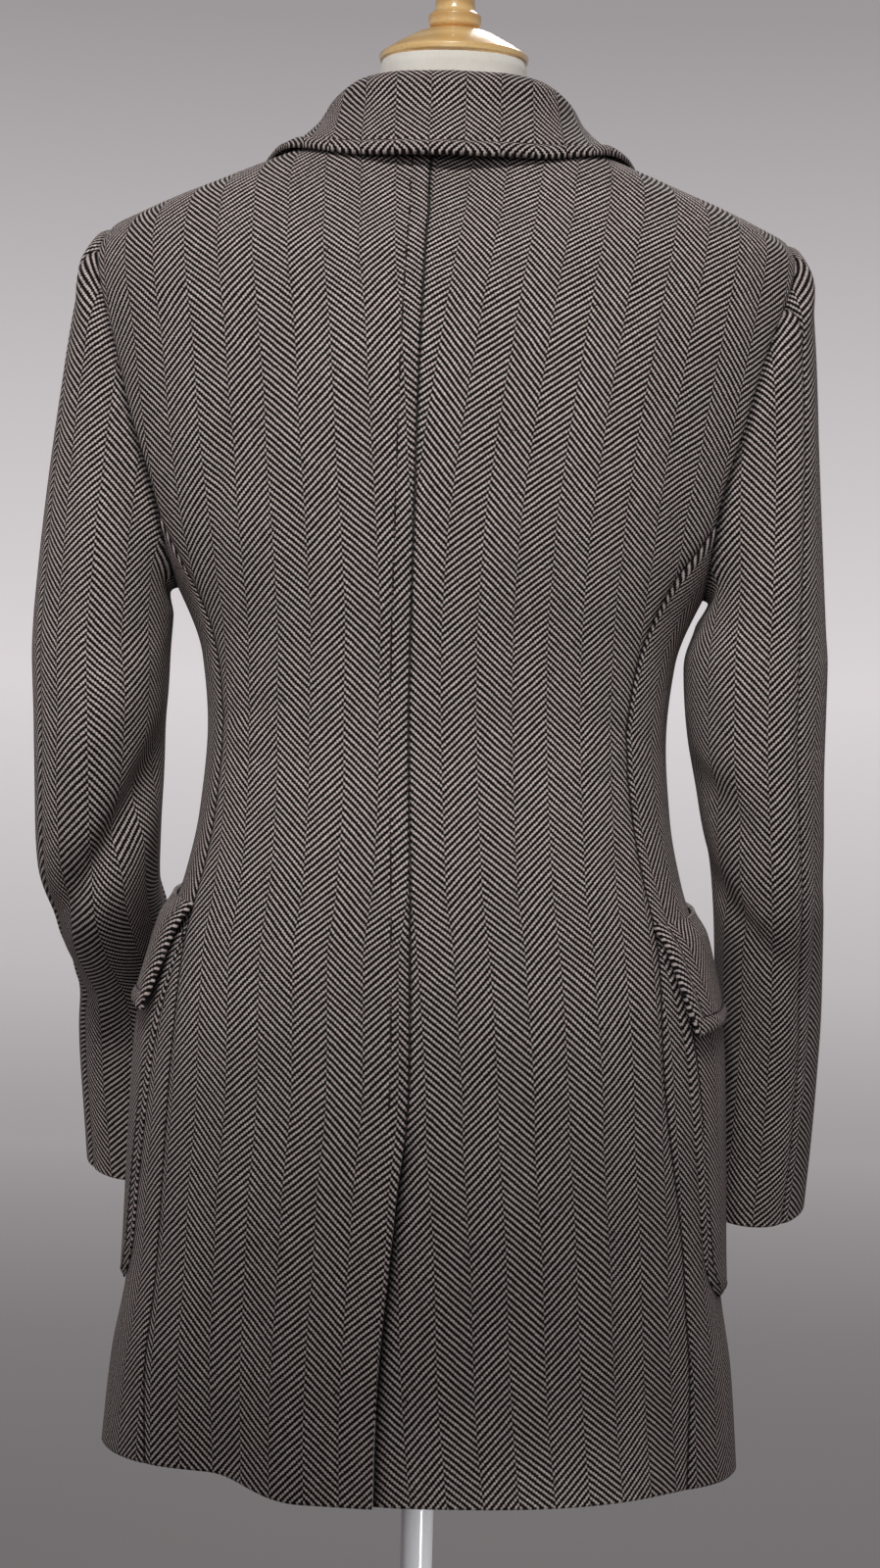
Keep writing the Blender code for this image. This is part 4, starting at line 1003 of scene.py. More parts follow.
class Graph:
    """A material's nodes, added one by one and joined as they are made."""

    def __init__(self, name):
        self.material = bpy.data.materials.new(name)
        self.material.use_nodes = True
        self.tree = self.material.node_tree
        self.shader = self.tree.nodes["Principled BSDF"]

    def give(self, socket, value):
        """Joins a socket to another, or sets it."""
        if isinstance(value, bpy.types.NodeSocket):
            self.tree.links.new(value, socket)
        else:
            socket.default_value = value

    def node(self, kind, settings=None, **inputs):
        """A node of a kind, with its settings and its inputs by name."""
        made = self.tree.nodes.new(kind)
        for key, value in (settings or {}).items():
            setattr(made, key, value)
        for key, value in inputs.items():
            self.give(made.inputs[key], value)
        return made

    def math(self, operation, first, second=0.0, third=0.0):
        """The result of a sum on up to three values."""
        made = self.tree.nodes.new("ShaderNodeMath")
        made.operation = operation
        for socket, value in zip(made.inputs, (first, second, third)):
            self.give(socket, value)
        return made.outputs[0]

    def step(self, value, low, high):
        """A soft step from 0 to 1 as the value goes from low to high."""
        made = self.tree.nodes.new("ShaderNodeMapRange")
        made.interpolation_type = "SMOOTHSTEP"
        for name, given in (("Value", value), ("From Min", low), ("From Max", high)):
            self.give(made.inputs[name], given)
        return made.outputs[0]

    def mix(self, share, first, second, blend="MIX"):
        """A colour between two, by a share."""
        made = self.tree.nodes.new("ShaderNodeMix")
        made.data_type = "RGBA"
        made.blend_type = blend
        self.give(made.inputs[0], share)
        for socket, value in ((made.inputs[6], first), (made.inputs[7], second)):
            self.give(socket, value if isinstance(value, bpy.types.NodeSocket) else (*value, 1.0))
        return made.outputs[2]

    def noise(self, vector, scale, detail=2.0, roughness=0.5):
        """A noise from 0 to 1 of a scale, or of one for each way."""
        if isinstance(scale, tuple):
            vector = self.stretched(vector, scale)
            scale = 1.0
        made = self.node("ShaderNodeTexNoise", Vector=vector, Scale=scale, Detail=detail, Roughness=roughness)
        return made.outputs[0]

    def stretched(self, vector, scale):
        """A place scaled differently each way."""
        made = self.tree.nodes.new("ShaderNodeMapping")
        self.give(made.inputs["Vector"], vector)
        made.inputs["Scale"].default_value = scale
        return made.outputs[0]

    def bump(self, height, distance, strength):
        """Fine relief by a height."""
        made = self.node("ShaderNodeBump", Height=height, Distance=distance, Strength=strength)
        self.give(self.shader.inputs["Normal"], made.outputs[0])

    def set(self, **values):
        """Sets or joins the shader's inputs by name."""
        for key, value in values.items():
            self.give(self.shader.inputs[key.replace("_", " ")], value)


def herringbone(look):
    """Herringbone tweed on the cloth's own lengths.

    The cloth is cut into columns; a triangle wave across them tilts the twill lines one way and then the
    other, with half a repeat of shift at each turn. A line is light over part of its repeat, stepped from
    warp to warp and beaded between them. The yarns vary in tone, and turns are darker. Seams, the vent's
    lapped edge and the armhole are darkened by painted shade, read from the cloth's shade attribute.
    """
    g = Graph("herringbone_tweed")
    place = g.node("ShaderNodeUVMap", {"uv_map": "grain"}).outputs[0]
    wander = g.noise(place, WEAVE["wander_scale"])
    split = g.node("ShaderNodeSeparateXYZ", Vector=place)
    u = split.outputs[0]
    v = split.outputs[1]
    v = g.math("MULTIPLY_ADD", g.math("SUBTRACT", wander, 0.5), look.wander, v)
    warp = g.math("DIVIDE", u, look.warp_pitch)
    thread = g.math("FLOOR", warp)
    stepped = g.math("MULTIPLY", g.math("ADD", thread, 0.5), look.warp_pitch)
    blended = g.math("MULTIPLY_ADD", g.math("SUBTRACT", stepped, u), look.stepping, u)
    column = g.math("DIVIDE", blended, look.column_width)
    wave = g.math("PINGPONG", column, 1.0)
    odd = g.math("FLOORED_MODULO", g.math("FLOOR", column), 2.0)
    climb = look.column_width * look.twill_slope / look.twill_pitch
    phase = g.math("MULTIPLY_ADD", wave, climb, g.math("DIVIDE", v, look.twill_pitch))
    phase = g.math("MULTIPLY_ADD", odd, 0.5, phase)
    turn = g.math("FRACT", phase)
    away = g.math("ABSOLUTE", g.math("SUBTRACT", turn, 0.5))
    fuzz = g.noise(place, WEAVE["fuzz_scale"])
    edge = g.math("MULTIPLY_ADD", g.math("SUBTRACT", fuzz, 0.5), WEAVE["fuzz"], away)
    half = look.light_share / 2
    light = g.math("SUBTRACT", 1.0, g.step(edge, half - WEAVE["line_edge"], half + WEAVE["line_edge"]))
    between = g.math("ABSOLUTE", g.math("SUBTRACT", g.math("FRACT", warp), 0.5))
    bead = g.math("SUBTRACT", 1.0, g.math("MULTIPLY", g.step(between, *WEAVE["bead"]), look.beading))
    light = g.math("MULTIPLY", light, bead)
    yarn = g.noise(place, WEAVE["yarn_scale"])
    warp_tone = g.noise(place, WEAVE["warp_scale"], 1.0)
    cloud = g.noise(place, WEAVE["cloud_scale"], 3.0)
    slub = g.step(g.noise(place, WEAVE["slub_scale"], 1.0), *WEAVE["slubs"])
    tone = g.mix(g.step(yarn, *WEAVE["yarn_tones"]), look.yarn_dark, look.yarn_light)
    warm = g.math("MULTIPLY", g.step(warp_tone, *WEAVE["warp_tones"]), WEAVE["warmth"])
    tone = g.mix(warm, tone, look.yarn_warm)
    ground = g.mix(g.step(yarn, *WEAVE["ground_tones"]), look.ground_dark, look.ground_light)
    colour = g.mix(light, ground, tone)
    colour = g.mix(g.math("MULTIPLY", slub, WEAVE["slub_darkness"]), colour, look.ground_dark)
    # Painted shade: the cloth's colour is darkened where its shade attribute marks seams, the vent's lapped
    # edge and the armhole.
    seam = g.node("ShaderNodeAttribute", {"attribute_name": "shade"}).outputs["Fac"]
    shade = g.math("MULTIPLY_ADD", cloud, *WEAVE["cloud"])
    shade = g.math("MULTIPLY", shade, g.math("MULTIPLY_ADD", seam, -look.painted_seam_shade, 1.0))
    from_middle = g.math("ABSOLUTE", g.math("SUBTRACT", wave, 0.5))
    turning = g.step(from_middle, *WEAVE["turn"])
    shade = g.math("MULTIPLY", shade, g.math("MULTIPLY_ADD", turning, -look.turn_darkness, 1.0))
    grey = g.node("ShaderNodeCombineColor", Red=shade, Green=shade, Blue=shade).outputs[0]
    g.set(Base_Color=g.mix(1.0, colour, grey, "MULTIPLY"), Roughness=WEAVE["roughness"])
    g.set(Sheen_Weight=look.sheen, Sheen_Roughness=WEAVE["nap_roughness"])
    g.set(Specular_IOR_Level=WEAVE["specular"])
    hair = g.noise(place, WEAVE["hair_scale"], 1.0)
    height = g.math("MULTIPLY_ADD", hair, WEAVE["hair"], light)
    g.bump(height, look.weave_depth, WEAVE["relief"])
    return g.material


def sewing_thread(look):
    """Dark sewing thread with a fine slanting twist."""
    g = Graph("sewing_thread")
    place = g.node("ShaderNodeTexCoord").outputs["Object"]
    twist = g.noise(place, THREAD["twist_scale"], 1.0)
    g.set(Base_Color=g.mix(twist, look.thread_dark, look.thread_light), Roughness=THREAD["roughness"])
    g.bump(twist, *THREAD["relief"])
    return g.material


def button_horn(look):
    """Dark horn: streaks of two browns under a polish, and four holes about the middle painted black as
    painted shade.
    """
    g = Graph("button_horn")
    place = g.node("ShaderNodeTexCoord").outputs["Object"]
    streak = g.noise(place, HORN["streaks"], 4.0, HORN["streak_roughness"])
    fine = g.noise(place, HORN["fine_scale"])
    lengths = g.node("ShaderNodeUVMap", {"uv_map": "grain"}).outputs[0]
    face = g.node("ShaderNodeSeparateXYZ", Vector=lengths)
    hole = BUTTON_HOLE["from_middle"]
    aside = [g.math("SUBTRACT", g.math("ABSOLUTE", face.outputs[k]), hole) for k in (0, 1)]
    square = g.math("MULTIPLY_ADD", aside[0], aside[0], g.math("MULTIPLY", aside[1], aside[1]))
    radius = BUTTON_HOLE["radius"]
    # Painted shade: black in the four holes, which are not cut.
    solid = g.step(g.math("SQRT", square), radius * BUTTON_HOLE["edge"], radius)
    horn = g.mix(g.step(streak, *HORN["tones"]), look.horn_dark, look.horn_light)
    g.set(Base_Color=g.mix(solid, (0.0, 0.0, 0.0), horn))
    g.set(Roughness=g.math("MULTIPLY_ADD", fine, *HORN["gloss"]))
    g.bump(fine, *HORN["relief"])
    return g.material


def form_jersey(look):
    """Cream cotton jersey: fine knitted ribs with a little soiling."""
    g = Graph("form_jersey")
    place = g.node("ShaderNodeTexCoord").outputs["Object"]
    split = g.node("ShaderNodeSeparateXYZ", Vector=place)
    courses = g.math("SINE", g.math("MULTIPLY", split.outputs[2], 2 * math.pi / JERSEY["course"]))
    round_about = g.math("ARCTAN2", split.outputs[1], split.outputs[0])
    wales = g.math("SINE", g.math("MULTIPLY", round_about, JERSEY["wales"]))
    knit = g.math("MULTIPLY_ADD", courses, JERSEY["course_share"], wales)
    cloud = g.step(g.noise(place, JERSEY["cloud_scale"], 3.0), *JERSEY["tones"])
    g.set(Base_Color=g.mix(cloud, look.jersey_dark, look.jersey_light), Roughness=JERSEY["roughness"])
    g.set(Sheen_Weight=JERSEY["sheen"])
    g.bump(knit, *JERSEY["relief"])
    return g.material


def varnished_wood(look):
    """Honey-coloured turned wood: growth rings cut across, fine pores, and a clear varnish."""
    g = Graph("varnished_wood")
    place = g.node("ShaderNodeTexCoord").outputs["Object"]
    bent = g.node("ShaderNodeVectorMath", {"operation": "ADD"})
    warp = g.node("ShaderNodeTexNoise", Vector=place, Scale=WOOD["sway_scale"], Detail=2.0)
    sway = g.node("ShaderNodeVectorMath", {"operation": "SCALE"})
    g.give(sway.inputs[0], warp.outputs["Color"])
    sway.inputs["Scale"].default_value = WOOD["sway"]
    g.give(bent.inputs[0], place)
    g.give(bent.inputs[1], sway.outputs[0])
    rings = g.node(
        "ShaderNodeTexWave", {"wave_type": "RINGS", "rings_direction": "Y"},
        Vector=g.stretched(bent.outputs[0], WOOD["ring_stretch"]), Scale=WOOD["ring_scale"],
        Distortion=WOOD["ring_distortion"], Detail=2.0)
    pores = g.noise(place, WOOD["pore_scale"])
    tone = g.mix(rings.outputs[1], look.wood_dark, look.wood_light)
    open_pores = g.math("MULTIPLY", g.step(pores, *WOOD["pores"]), WOOD["pore_share"])
    g.set(Base_Color=g.mix(open_pores, tone, look.wood_pore), Roughness=WOOD["roughness"])
    g.set(Coat_Weight=WOOD["coat"], Coat_Roughness=WOOD["coat_roughness"])
    g.bump(pores, *WOOD["relief"])
    return g.material


def enamel(look):
    """White enamel on the pole and base: slightly uneven gloss and tone."""
    g = Graph("white_enamel")
    place = g.node("ShaderNodeTexCoord").outputs["Object"]
    cloud = g.noise(place, ENAMEL["cloud_scale"], 3.0)
    g.set(Base_Color=g.mix(cloud, look.enamel_dark, look.enamel_light))
    g.set(Roughness=g.math("MULTIPLY_ADD", cloud, *ENAMEL["gloss"]))
    g.bump(g.noise(place, ENAMEL["fine_scale"], 1.0), *ENAMEL["relief"])
    return g.material


def studio_paper(look):
    """Studio paper that glows softly: most behind the object, less up the wall, over the floor and opposite.

    The tone follows the height, less a share of the distance to the foot of the wall.
    """
    g = Graph("studio_paper")
    place = g.node("ShaderNodeTexCoord").outputs["Object"]
    split = g.node("ShaderNodeSeparateXYZ", Vector=place)
    flat = g.node("ShaderNodeCombineXYZ", X=split.outputs[0], Y=split.outputs[1]).outputs[0]
    away = g.node("ShaderNodeVectorMath", {"operation": "LENGTH"})
    g.give(away.inputs[0], flat)
    short = g.math("MAXIMUM", g.math("SUBTRACT", STAGE["flat"], away.outputs["Value"]), 0.0)
    level = g.math("SUBTRACT", split.outputs[2], g.math("MULTIPLY", short, STAGE["floor_fall"]))
    ramp = g.node("ShaderNodeValToRGB")
    low = GLOW["level"][0]
    reach = GLOW["level"][-1] - low
    g.give(ramp.inputs[0], g.math("DIVIDE", g.math("SUBTRACT", level, low), reach))
    stops = ramp.color_ramp.elements
    for _ in range(len(GLOW) - len(stops)):
        stops.new(0.5)
    for stop, row in zip(stops, GLOW):
        stop.position = (row["level"] - low) / reach
        stop.color = (*(row["tone"] * part for part in look.backdrop), 1.0)
    cloud = g.noise(place, STAGE["cloud_scale"])
    darker = tuple(STAGE["cloud_tone"] * part for part in look.paper)
    g.set(Base_Color=g.mix(cloud, darker, tuple(look.paper)), Roughness=PAPER_ROUGHNESS)
    opposite = g.step(split.outputs[1], STAGE["dims_from"], STAGE["dim_at"])
    glow = g.math("MULTIPLY_ADD", opposite, -STAGE["dimming"], 1.0)
    g.set(Emission_Color=ramp.outputs[0], Emission_Strength=glow)
    return g.material


def made_material(name, maker, *given):
    """A material by name, made the first time that it is asked for."""
    found = bpy.data.materials.get(name)
    return found if found else maker(*given)


def body_levels(low, high, step):
    """Heights up the body, closer together over the slope of the shoulder."""
    knots = np.array([low, min(high, SHOULDER_Z - SHOULDER_GRID["from_seam"]), high])
    steps = (step, step * SHOULDER_GRID["finer"])
    count = [max(2, int(round((b - a) / s))) for a, b, s in zip(knots[:-1], knots[1:], steps) if b > a]
    parts = [np.linspace(a, b, n, endpoint=False) for a, b, n in zip(knots[:-1], knots[1:], count)]
    ends = low + EDGE_STEPS[1:]
    return np.unique(np.concatenate([*parts, ends, [high]]))


def panel_angles(first, last, z, share):
    """A grid of angles between two edges given at each height, half a seam gap inside both."""
    sign = np.sign(last - first)
    first = first + sign * inset(body, first, z, SEAM_GAP / 2)
    last = last - sign * inset(body, last, z, SEAM_GAP / 2)
    return first[:, None] + (last - first)[:, None] * share, np.repeat(z[:, None], len(share), axis=1)


def number_prop(name, description, default, **kind):
    """A number to change, with its unit or subtype where it has one."""
    return bpy.props.FloatProperty(name=name, description=description, default=default, **kind)


def length_prop(name, description, default):
    """A length to change, in metres."""
    return number_prop(name, description, default, unit="LENGTH")


def power_prop(name, description, default):
    """A light's power to change, in watts."""
    return number_prop(name, description, default, unit="POWER")


def angle_prop(name, description, degrees):
    """An angle to change, given in degrees."""
    return number_prop(name, description, math.radians(degrees), subtype="ANGLE")


def colour_prop(name, description, default):
    """A colour to change, in linear light."""
    return bpy.props.FloatVectorProperty(
        name=name, description=description, default=default, subtype="COLOR")


class ClothLook(bpy.types.PropertyGroup):
    """The tweed's weave, colours and seams."""

    column_width: length_prop("Column width", "Width of one herringbone column", 0.0213)
    twill_pitch: length_prop("Twill pitch", "Upright repeat of the twill lines", 0.0043)
    twill_slope: number_prop("Twill slope", "Rise of a twill line over its run", 0.95)
    light_share: number_prop("Light share", "Share of the repeat taken by the light yarn", 0.40)
    warp_pitch: length_prop("Warp pitch", "Distance between warp yarns", 0.00142)
    stepping: number_prop("Stepping", "How far a twill line goes in steps from warp to warp", 0.6)
    beading: number_prop("Beading", "How dark the gaps between warps are", 0.42)
    wander: length_prop("Wander", "How far the weft yarns stray", 0.0016)
    weave_depth: length_prop("Weave depth", "Height of the light yarn over the ground", 0.0005)
    sheen: number_prop("Sheen", "Strength of the nap's sheen", 0.03)
    yarn_light: colour_prop("Light yarn", "Palest tone of the light yarn", (0.77, 0.663, 0.632))
    yarn_dark: colour_prop("Light yarn, dark", "Darkest tone of the light yarn", (0.46, 0.39, 0.37))
    yarn_warm: colour_prop("Light yarn, warm", "Warmer strand of the light yarn", (0.50, 0.40, 0.35))
    ground_dark: colour_prop("Ground", "Darkest tone of the ground", (0.0035, 0.0025, 0.0025))
    ground_light: colour_prop("Ground, light", "Palest tone of the ground", (0.012, 0.009, 0.0085))
    seam_depth: length_prop("Seam depth", "Hollow along a pressed seam", 0.0010)
    seam_spread: length_prop("Seam spread", "Half width of that hollow", 0.0030)
    # Painted shade along a seam: its half width, and how much of the cloth's colour it takes away.
    painted_seam_shade_width: length_prop("Seam line", "Half width of the dark line in a seam", 0.0009)
    painted_seam_shade: number_prop("Seam darkness", "Share of the light lost in a seam", 0.93)
    turn_darkness: number_prop("Turn darkness", "Share of the light lost where the twill turns", 0.24)
    grid_step: length_prop("Grid step", "Spacing of the cloth's points", 0.0036)


class SewingLook(bpy.types.PropertyGroup):
    """The stitches and turned edges."""

    stitch_pitch: length_prop("Stitch", "Length of one stitch", 0.0042)
    stitch_width: length_prop("Thread", "Thickness of the thread", 0.0014)
    edge_inset: length_prop("Edge stitching", "Stitches to the edge", 0.0095)
    seam_inset: length_prop("Centre stitching", "Stitches to the centre-back seam", 0.0110)
    edge_puff: length_prop("Edge fullness", "Swell of a turned edge", 0.0014)
    thread_dark: colour_prop("Thread, dark", "Darkest tone of the thread", (0.004, 0.003, 0.003))
    thread_light: colour_prop("Thread, light", "Palest tone of the thread", (0.012, 0.009, 0.009))
    horn_dark: colour_prop("Horn, dark", "Darkest tone of the buttons", (0.010, 0.007, 0.006))
    horn_light: colour_prop("Horn, light", "Palest tone of the buttons", (0.060, 0.034, 0.020))


class FormLook(bpy.types.PropertyGroup):
    """The dress form's finishes."""

    jersey_light: colour_prop("Jersey", "Palest tone of the form's cover", (0.90, 0.86, 0.78))
    jersey_dark: colour_prop("Jersey, dark", "Darkest tone of the form's cover", (0.82, 0.77, 0.69))
    wood_light: colour_prop("Wood", "Palest tone of the turned wood", (0.92, 0.62, 0.27))
    wood_dark: colour_prop("Wood, dark", "Darkest tone of the turned wood", (0.74, 0.44, 0.16))
    wood_pore: colour_prop("Wood pores", "Tone of the wood's pores", (0.52, 0.28, 0.10))
    enamel_light: colour_prop("Enamel", "Palest tone of the pole", (0.86, 0.86, 0.88))
    enamel_dark: colour_prop("Enamel, dark", "Darkest tone of the pole", (0.72, 0.72, 0.75))


class StageLook(bpy.types.PropertyGroup):
    """The floor, backdrop, lights and camera."""

    backdrop: colour_prop("Backdrop", "Tint of the backdrop's glow", (1.0, 0.945, 0.965))
    paper: colour_prop("Paper", "Colour of the floor and backdrop", (0.16, 0.15, 0.15))
    key_power: power_prop("Key light", "Power of the main soft light", 2.05)
    key_spread: angle_prop("Key beam", "Angle of the main light's beam", 25.0)
    fill_power: power_prop("Fill light", "Power of the fill light", 0.6)
    fill_spread: angle_prop("Fill beam", "Angle of the fill light's beam", 25.0)
    front_power: power_prop("Front light", "Power of the light on the coat's front", 1.6)
    front_spread: angle_prop("Front beam", "Angle of the front light's beam", 26.0)
    strip_power: power_prop("Strip light", "Power of the upright strip beside the pole", 0.07)
    strip_spread: angle_prop("Strip beam", "Angle of the strip light's beam", 12.0)
    sky: number_prop("Sky", "Strength of the even light from above", 0.12)
    camera_x: length_prop("Camera aside", "Camera's x", -0.0027)
    camera_y: length_prop("Camera away", "Camera's y", 2.1)
    camera_z: length_prop("Camera height", "Camera's z", 0.979)
    lens: number_prop("Lens", "Focal length in millimetres", 77.5)
    roll: angle_prop("Roll", "Turn of the camera about its line of sight", 1.44)


class COAT_OT_backs(bpy.types.Operator):
    """The two backs and the underlap of the vent"""

    bl_idname = "coat.backs"
    bl_label = "Backs"
    bl_options = {"REGISTER", "UNDO"}

    def execute(self, context):
        look = context.scene.coat_cloth
        sewing = context.scene.coat_sewing
        z = body_levels(HEM_Z, NECK_Z, look.grid_step)
        seam = centre_back(z)
        share = shares(GRID_WIDTH["back"], look.grid_step)
        lines = []
        for side, way in SIDES:
            last = set_side(outer_edge(z, side, "back"), side)
            angle, height = panel_angles(seam, last, z, share)
            sheet = Sheet(body(angle, height))
            open_vent = ease((VENT_TOP_Z - height) / VENT["opens_over"])
            lap = VENT["lap"] + VENT["more_at_hem"] * ease((VENT_TOP_Z - height) / (VENT_TOP_Z - HEM_Z))
            vent = lap * hump(sheet.across, VENT["lap_spread"])
            if side == "right":
                vent = -VENT["sink"] * hump(sheet.across, VENT["sink_spread"])
            sheet.lift += body_creases(angle, height) + vent * open_vent
            sheet.press(sheet.across, look, 1 - open_vent)
            sheet.press(sheet.from_last_column(), look)
            # Painted shadow on the right back, beside the edge where the left back laps over it at the vent.
            if side == "right":
                sheet.shade += hump(sheet.across, VENT_SHADE) * open_vent
            if side == "left":
                inside = sewing.seam_inset - sheet.across
                ridge = CENTRE_RIDGE["height"] * ease(inside / CENTRE_RIDGE["over"] + 1.0)
                ridge = ridge - CENTRE_RIDGE["drawn_in"] * hump(inside, CENTRE_RIDGE["spread"])
                sheet.lift += (1 - open_vent) * ridge
            line = read_column(BACK_GRAIN[side], "from_seam", z)
            grain = sheet.upright_grain(line - look.column_width, share)
            lean = evened(z, np.gradient(line + way * sheet.base[:, 0, 0], z))
            grain[..., 1] += lean[:, None] * (sheet.across - line[:, None])
            cut_piece(context, f"back_{side}", sheet, grain, (1, 0, 0, 0))
            if side == "left":
                points, normals = along_columns(sheet, sewing.seam_inset)
                keep = points[:, 2] > VENT_TOP_Z
                lines.append((points[keep], normals[keep]))
        low = body_levels(HEM_Z, VENT_TOP_Z, look.grid_step)
        seam = centre_back(low)
        under = seam - inset(body, seam, low, VENT_UNDERLAP)
        share = shares(VENT_UNDERLAP, look.grid_step)
        angle, height = panel_angles(seam, under, low, share)
        sheet = Sheet(body(angle, height))
        sheet.lift += UNDERLAP["swell"] * hump(sheet.across, UNDERLAP["spread"]) - LAYER
        middle = np.full(len(low), UNDERLAP["grain_from"])
        cut_piece(
            context, "vent_underlap", sheet, sheet.grain(middle, 0), (1, 1, 0, 0))
        stitches(context, "centre_stitching", lines)
        return {"FINISHED"}


class COAT_OT_sides(bpy.types.Operator):
    """The two side panels, from the hem up to the armhole"""

    bl_idname = "coat.sides"
    bl_label = "Side panels"
    bl_options = {"REGISTER", "UNDO"}

    def execute(self, context):
        look = context.scene.coat_cloth
        z = body_levels(HEM_Z, JOIN_Z, look.grid_step)
        share = shares(GRID_WIDTH["side"], look.grid_step)
        bend_z = ARMHOLE_BOTTOM_Z - SIDE_BEND
        for side, _ in SIDES:
            top = armhole_bottom(share, side)
            top[[0, -1]] = JOIN_Z
            reach = np.clip((z - bend_z) / (JOIN_Z - bend_z), 0.0, 1.0)[:, None]
            height = np.where(reach > 0, bend_z + (top - bend_z) * reach, z[:, None])
            angle = side_angle(share[None, :], height, side)
            angle[:, 0] -= inset(body, angle[:, 0], height[:, 0], SEAM_GAP / 2)
            angle[:, -1] += inset(body, angle[:, -1], height[:, -1], SEAM_GAP / 2)
            angle = set_side(angle, side)
            sheet = Sheet(body(angle, height))
            sheet.lift += body_creases(angle, height)
            sheet.press(sheet.across, look)
            sheet.press(sheet.from_last_column(), look)
            grain = sheet.upright_grain(middle_values(sheet.across, share), share)
            cut_piece(context, f"side_{side}", sheet, grain, (1, 0, 0, 0))
        return {"FINISHED"}


class COAT_OT_fronts(bpy.types.Operator):
    """The two fronts, the right lapped over the left"""

    bl_idname = "coat.fronts"
    bl_label = "Fronts"
    bl_options = {"REGISTER", "UNDO"}

    def execute(self, context):
        look = context.scene.coat_cloth
        sewing = context.scene.coat_sewing
        z = body_levels(HEM_Z, NECK_Z, look.grid_step)
        share = shares(GRID_WIDTH["front"], look.grid_step)
        lines = []
        for side, way in SIDES:
            outer = set_side(-outer_edge(z, side, "front"), side)
            outer = np.where(outer > math.pi / 2, outer - 2 * math.pi, outer)
            angle, height = panel_angles(outer, front_angle(-way * front_edge(z), z), z, share)
            sheet = Sheet(body(angle, height))
            if side == "right":
                sheet.lift += over_lift(angle, height)
            below = ease((BREAK_Z - height) / ROLL_FADE)
            sheet.lift += body_creases(angle, height)
            sheet.press(sheet.across, look)
            roll = edge_roll(sheet.from_last_column(), sewing.edge_inset, sewing.edge_puff)
            sheet.lift += below * (roll if side == "right" else 0.0)
            grain = sheet.upright_grain(middle_values(sheet.across, share), share)
            cut_piece(context, f"front_{side}", sheet, grain, (1, 1, 0, 0))
            if side == "right":
                points, normals = along_columns(sheet, sewing.edge_inset, last=True)
                keep = points[:, 2] < BREAK_Z
                lines.append((points[keep], normals[keep]))
        stitches(context, "front_stitching", lines)
        return {"FINISHED"}


def rise_share(z):
    """How far up a lapel each height is, from 0 to 1."""
    return (z - z[0]) / (z[-1] - z[0])


class COAT_OT_lapels(bpy.types.Operator):
    """The lapels, turned back along the roll line"""

    bl_idname = "coat.lapels"
    bl_label = "Lapels"
    bl_options = {"REGISTER", "UNDO"}

    def execute(self, context):
        look = context.scene.coat_cloth
        sewing = context.scene.coat_sewing
        share = shares(GRID_WIDTH["lapel"], look.grid_step * FINE_GRID)
        lines = []
        for side, way in SIDES:
            bottom = LAPEL_BOTTOM_Z[side]
            rise = shares(LAPEL_TOP_Z - bottom, look.grid_step * FINE_GRID)
            z = np.unique(np.append(bottom + (LAPEL_TOP_Z - bottom) * rise, LAPEL_TIP_Z))
            inner = -front_edge(z) + LAPEL_INSET
            if side == "left":
                inner = np.maximum(inner, front_edge(z) + UNDER_LAPEL_INSET)
            x = inner[:, None] + (lapel_edge(z) - inner)[:, None] * share
            height = np.repeat(z[:, None], len(share), axis=1)
            angle = front_angle(way * x, height)
            sheet = Sheet(body(angle, height))
            lift = LAPEL_LIFT + (over_lift(angle, height) if side == "right" else 0.0)
            belly = np.sin(math.pi * share)[None, :] * np.sin(math.pi * rise_share(z))[:, None]
            sheet.lift += lift + LAPEL["belly"] * belly
            sheet.lift += edge_roll(sheet.from_last_column(), sewing.edge_inset, sewing.edge_puff)
            sheet.lift -= LAPEL["sink"] * hump(sheet.across, LAPEL["sink_spread"])
            middle = np.full(len(z), LAPEL["grain_from"])
            grain = sheet.upright_grain(middle, share)
            cut_piece(context, f"lapel_{side}", sheet, grain, (1, 1, 1, 1))
            line = along_columns(sheet, sewing.edge_inset, last=True)
            lines.append(trimmed(line, LAPEL["trim_low"], LAPEL["trim_high"]))
        stitches(context, "lapel_stitching", lines)
        return {"FINISHED"}


class COAT_OT_collar(bpy.types.Operator):
    """The turned collar and its stand"""

    bl_idname = "coat.collar"
    bl_label = "Collar"
    bl_options = {"REGISTER", "UNDO"}

    def execute(self, context):
        look = context.scene.coat_cloth
        sewing = context.scene.coat_sewing
        ends = COLLAR["station"][-1]
        station = np.linspace(-ends, ends, COLLAR_ROWS)
        across = shares(GRID_WIDTH["collar"], look.grid_step * FINER_GRID)
        p, q = np.meshgrid(station, across, indexing="ij")
        sheet = Sheet(collar(p, q))
        from_edge = sheet.from_last_column()
        drift = np.sin(sheet.down / COLLAR_EDGE["drift"] + 1.0)
        pucker = 1 + COLLAR_EDGE["pucker"] * np.sin(sheet.down / COLLAR_EDGE["run"]) * drift
        puff = sewing.edge_puff * COLLAR_EDGE["fuller"]
        sheet.lift += edge_roll(from_edge, sewing.edge_inset, puff) * pucker
        length = sheet.down - sheet.down[len(station) // 2] + COLLAR_GRAIN_FROM
        grain = np.stack([length, -sheet.across], axis=-1)
        cut_piece(context, "collar", sheet, grain, (1, 1, 1, 1))
        line = along_columns(sheet, sewing.edge_inset, last=True)
        line = trimmed(line, COLLAR_EDGE["trim"], COLLAR_EDGE["trim"])
        stitches(context, "collar_stitching", [line])
        station = np.linspace(-STAND["ends"], STAND["ends"], STAND["rows"])
        p, q = np.meshgrid(station, shares(GRID_WIDTH["stand"], look.grid_step), indexing="ij")
        stand = Sheet(collar_stand(p, q))
        stand.lift += CLOTH / 2
        grain = np.stack([stand.down, stand.across], axis=-1)
        cut_piece(context, "collar_stand", stand, grain, (0, 0, 0, 0))
        return {"FINISHED"}


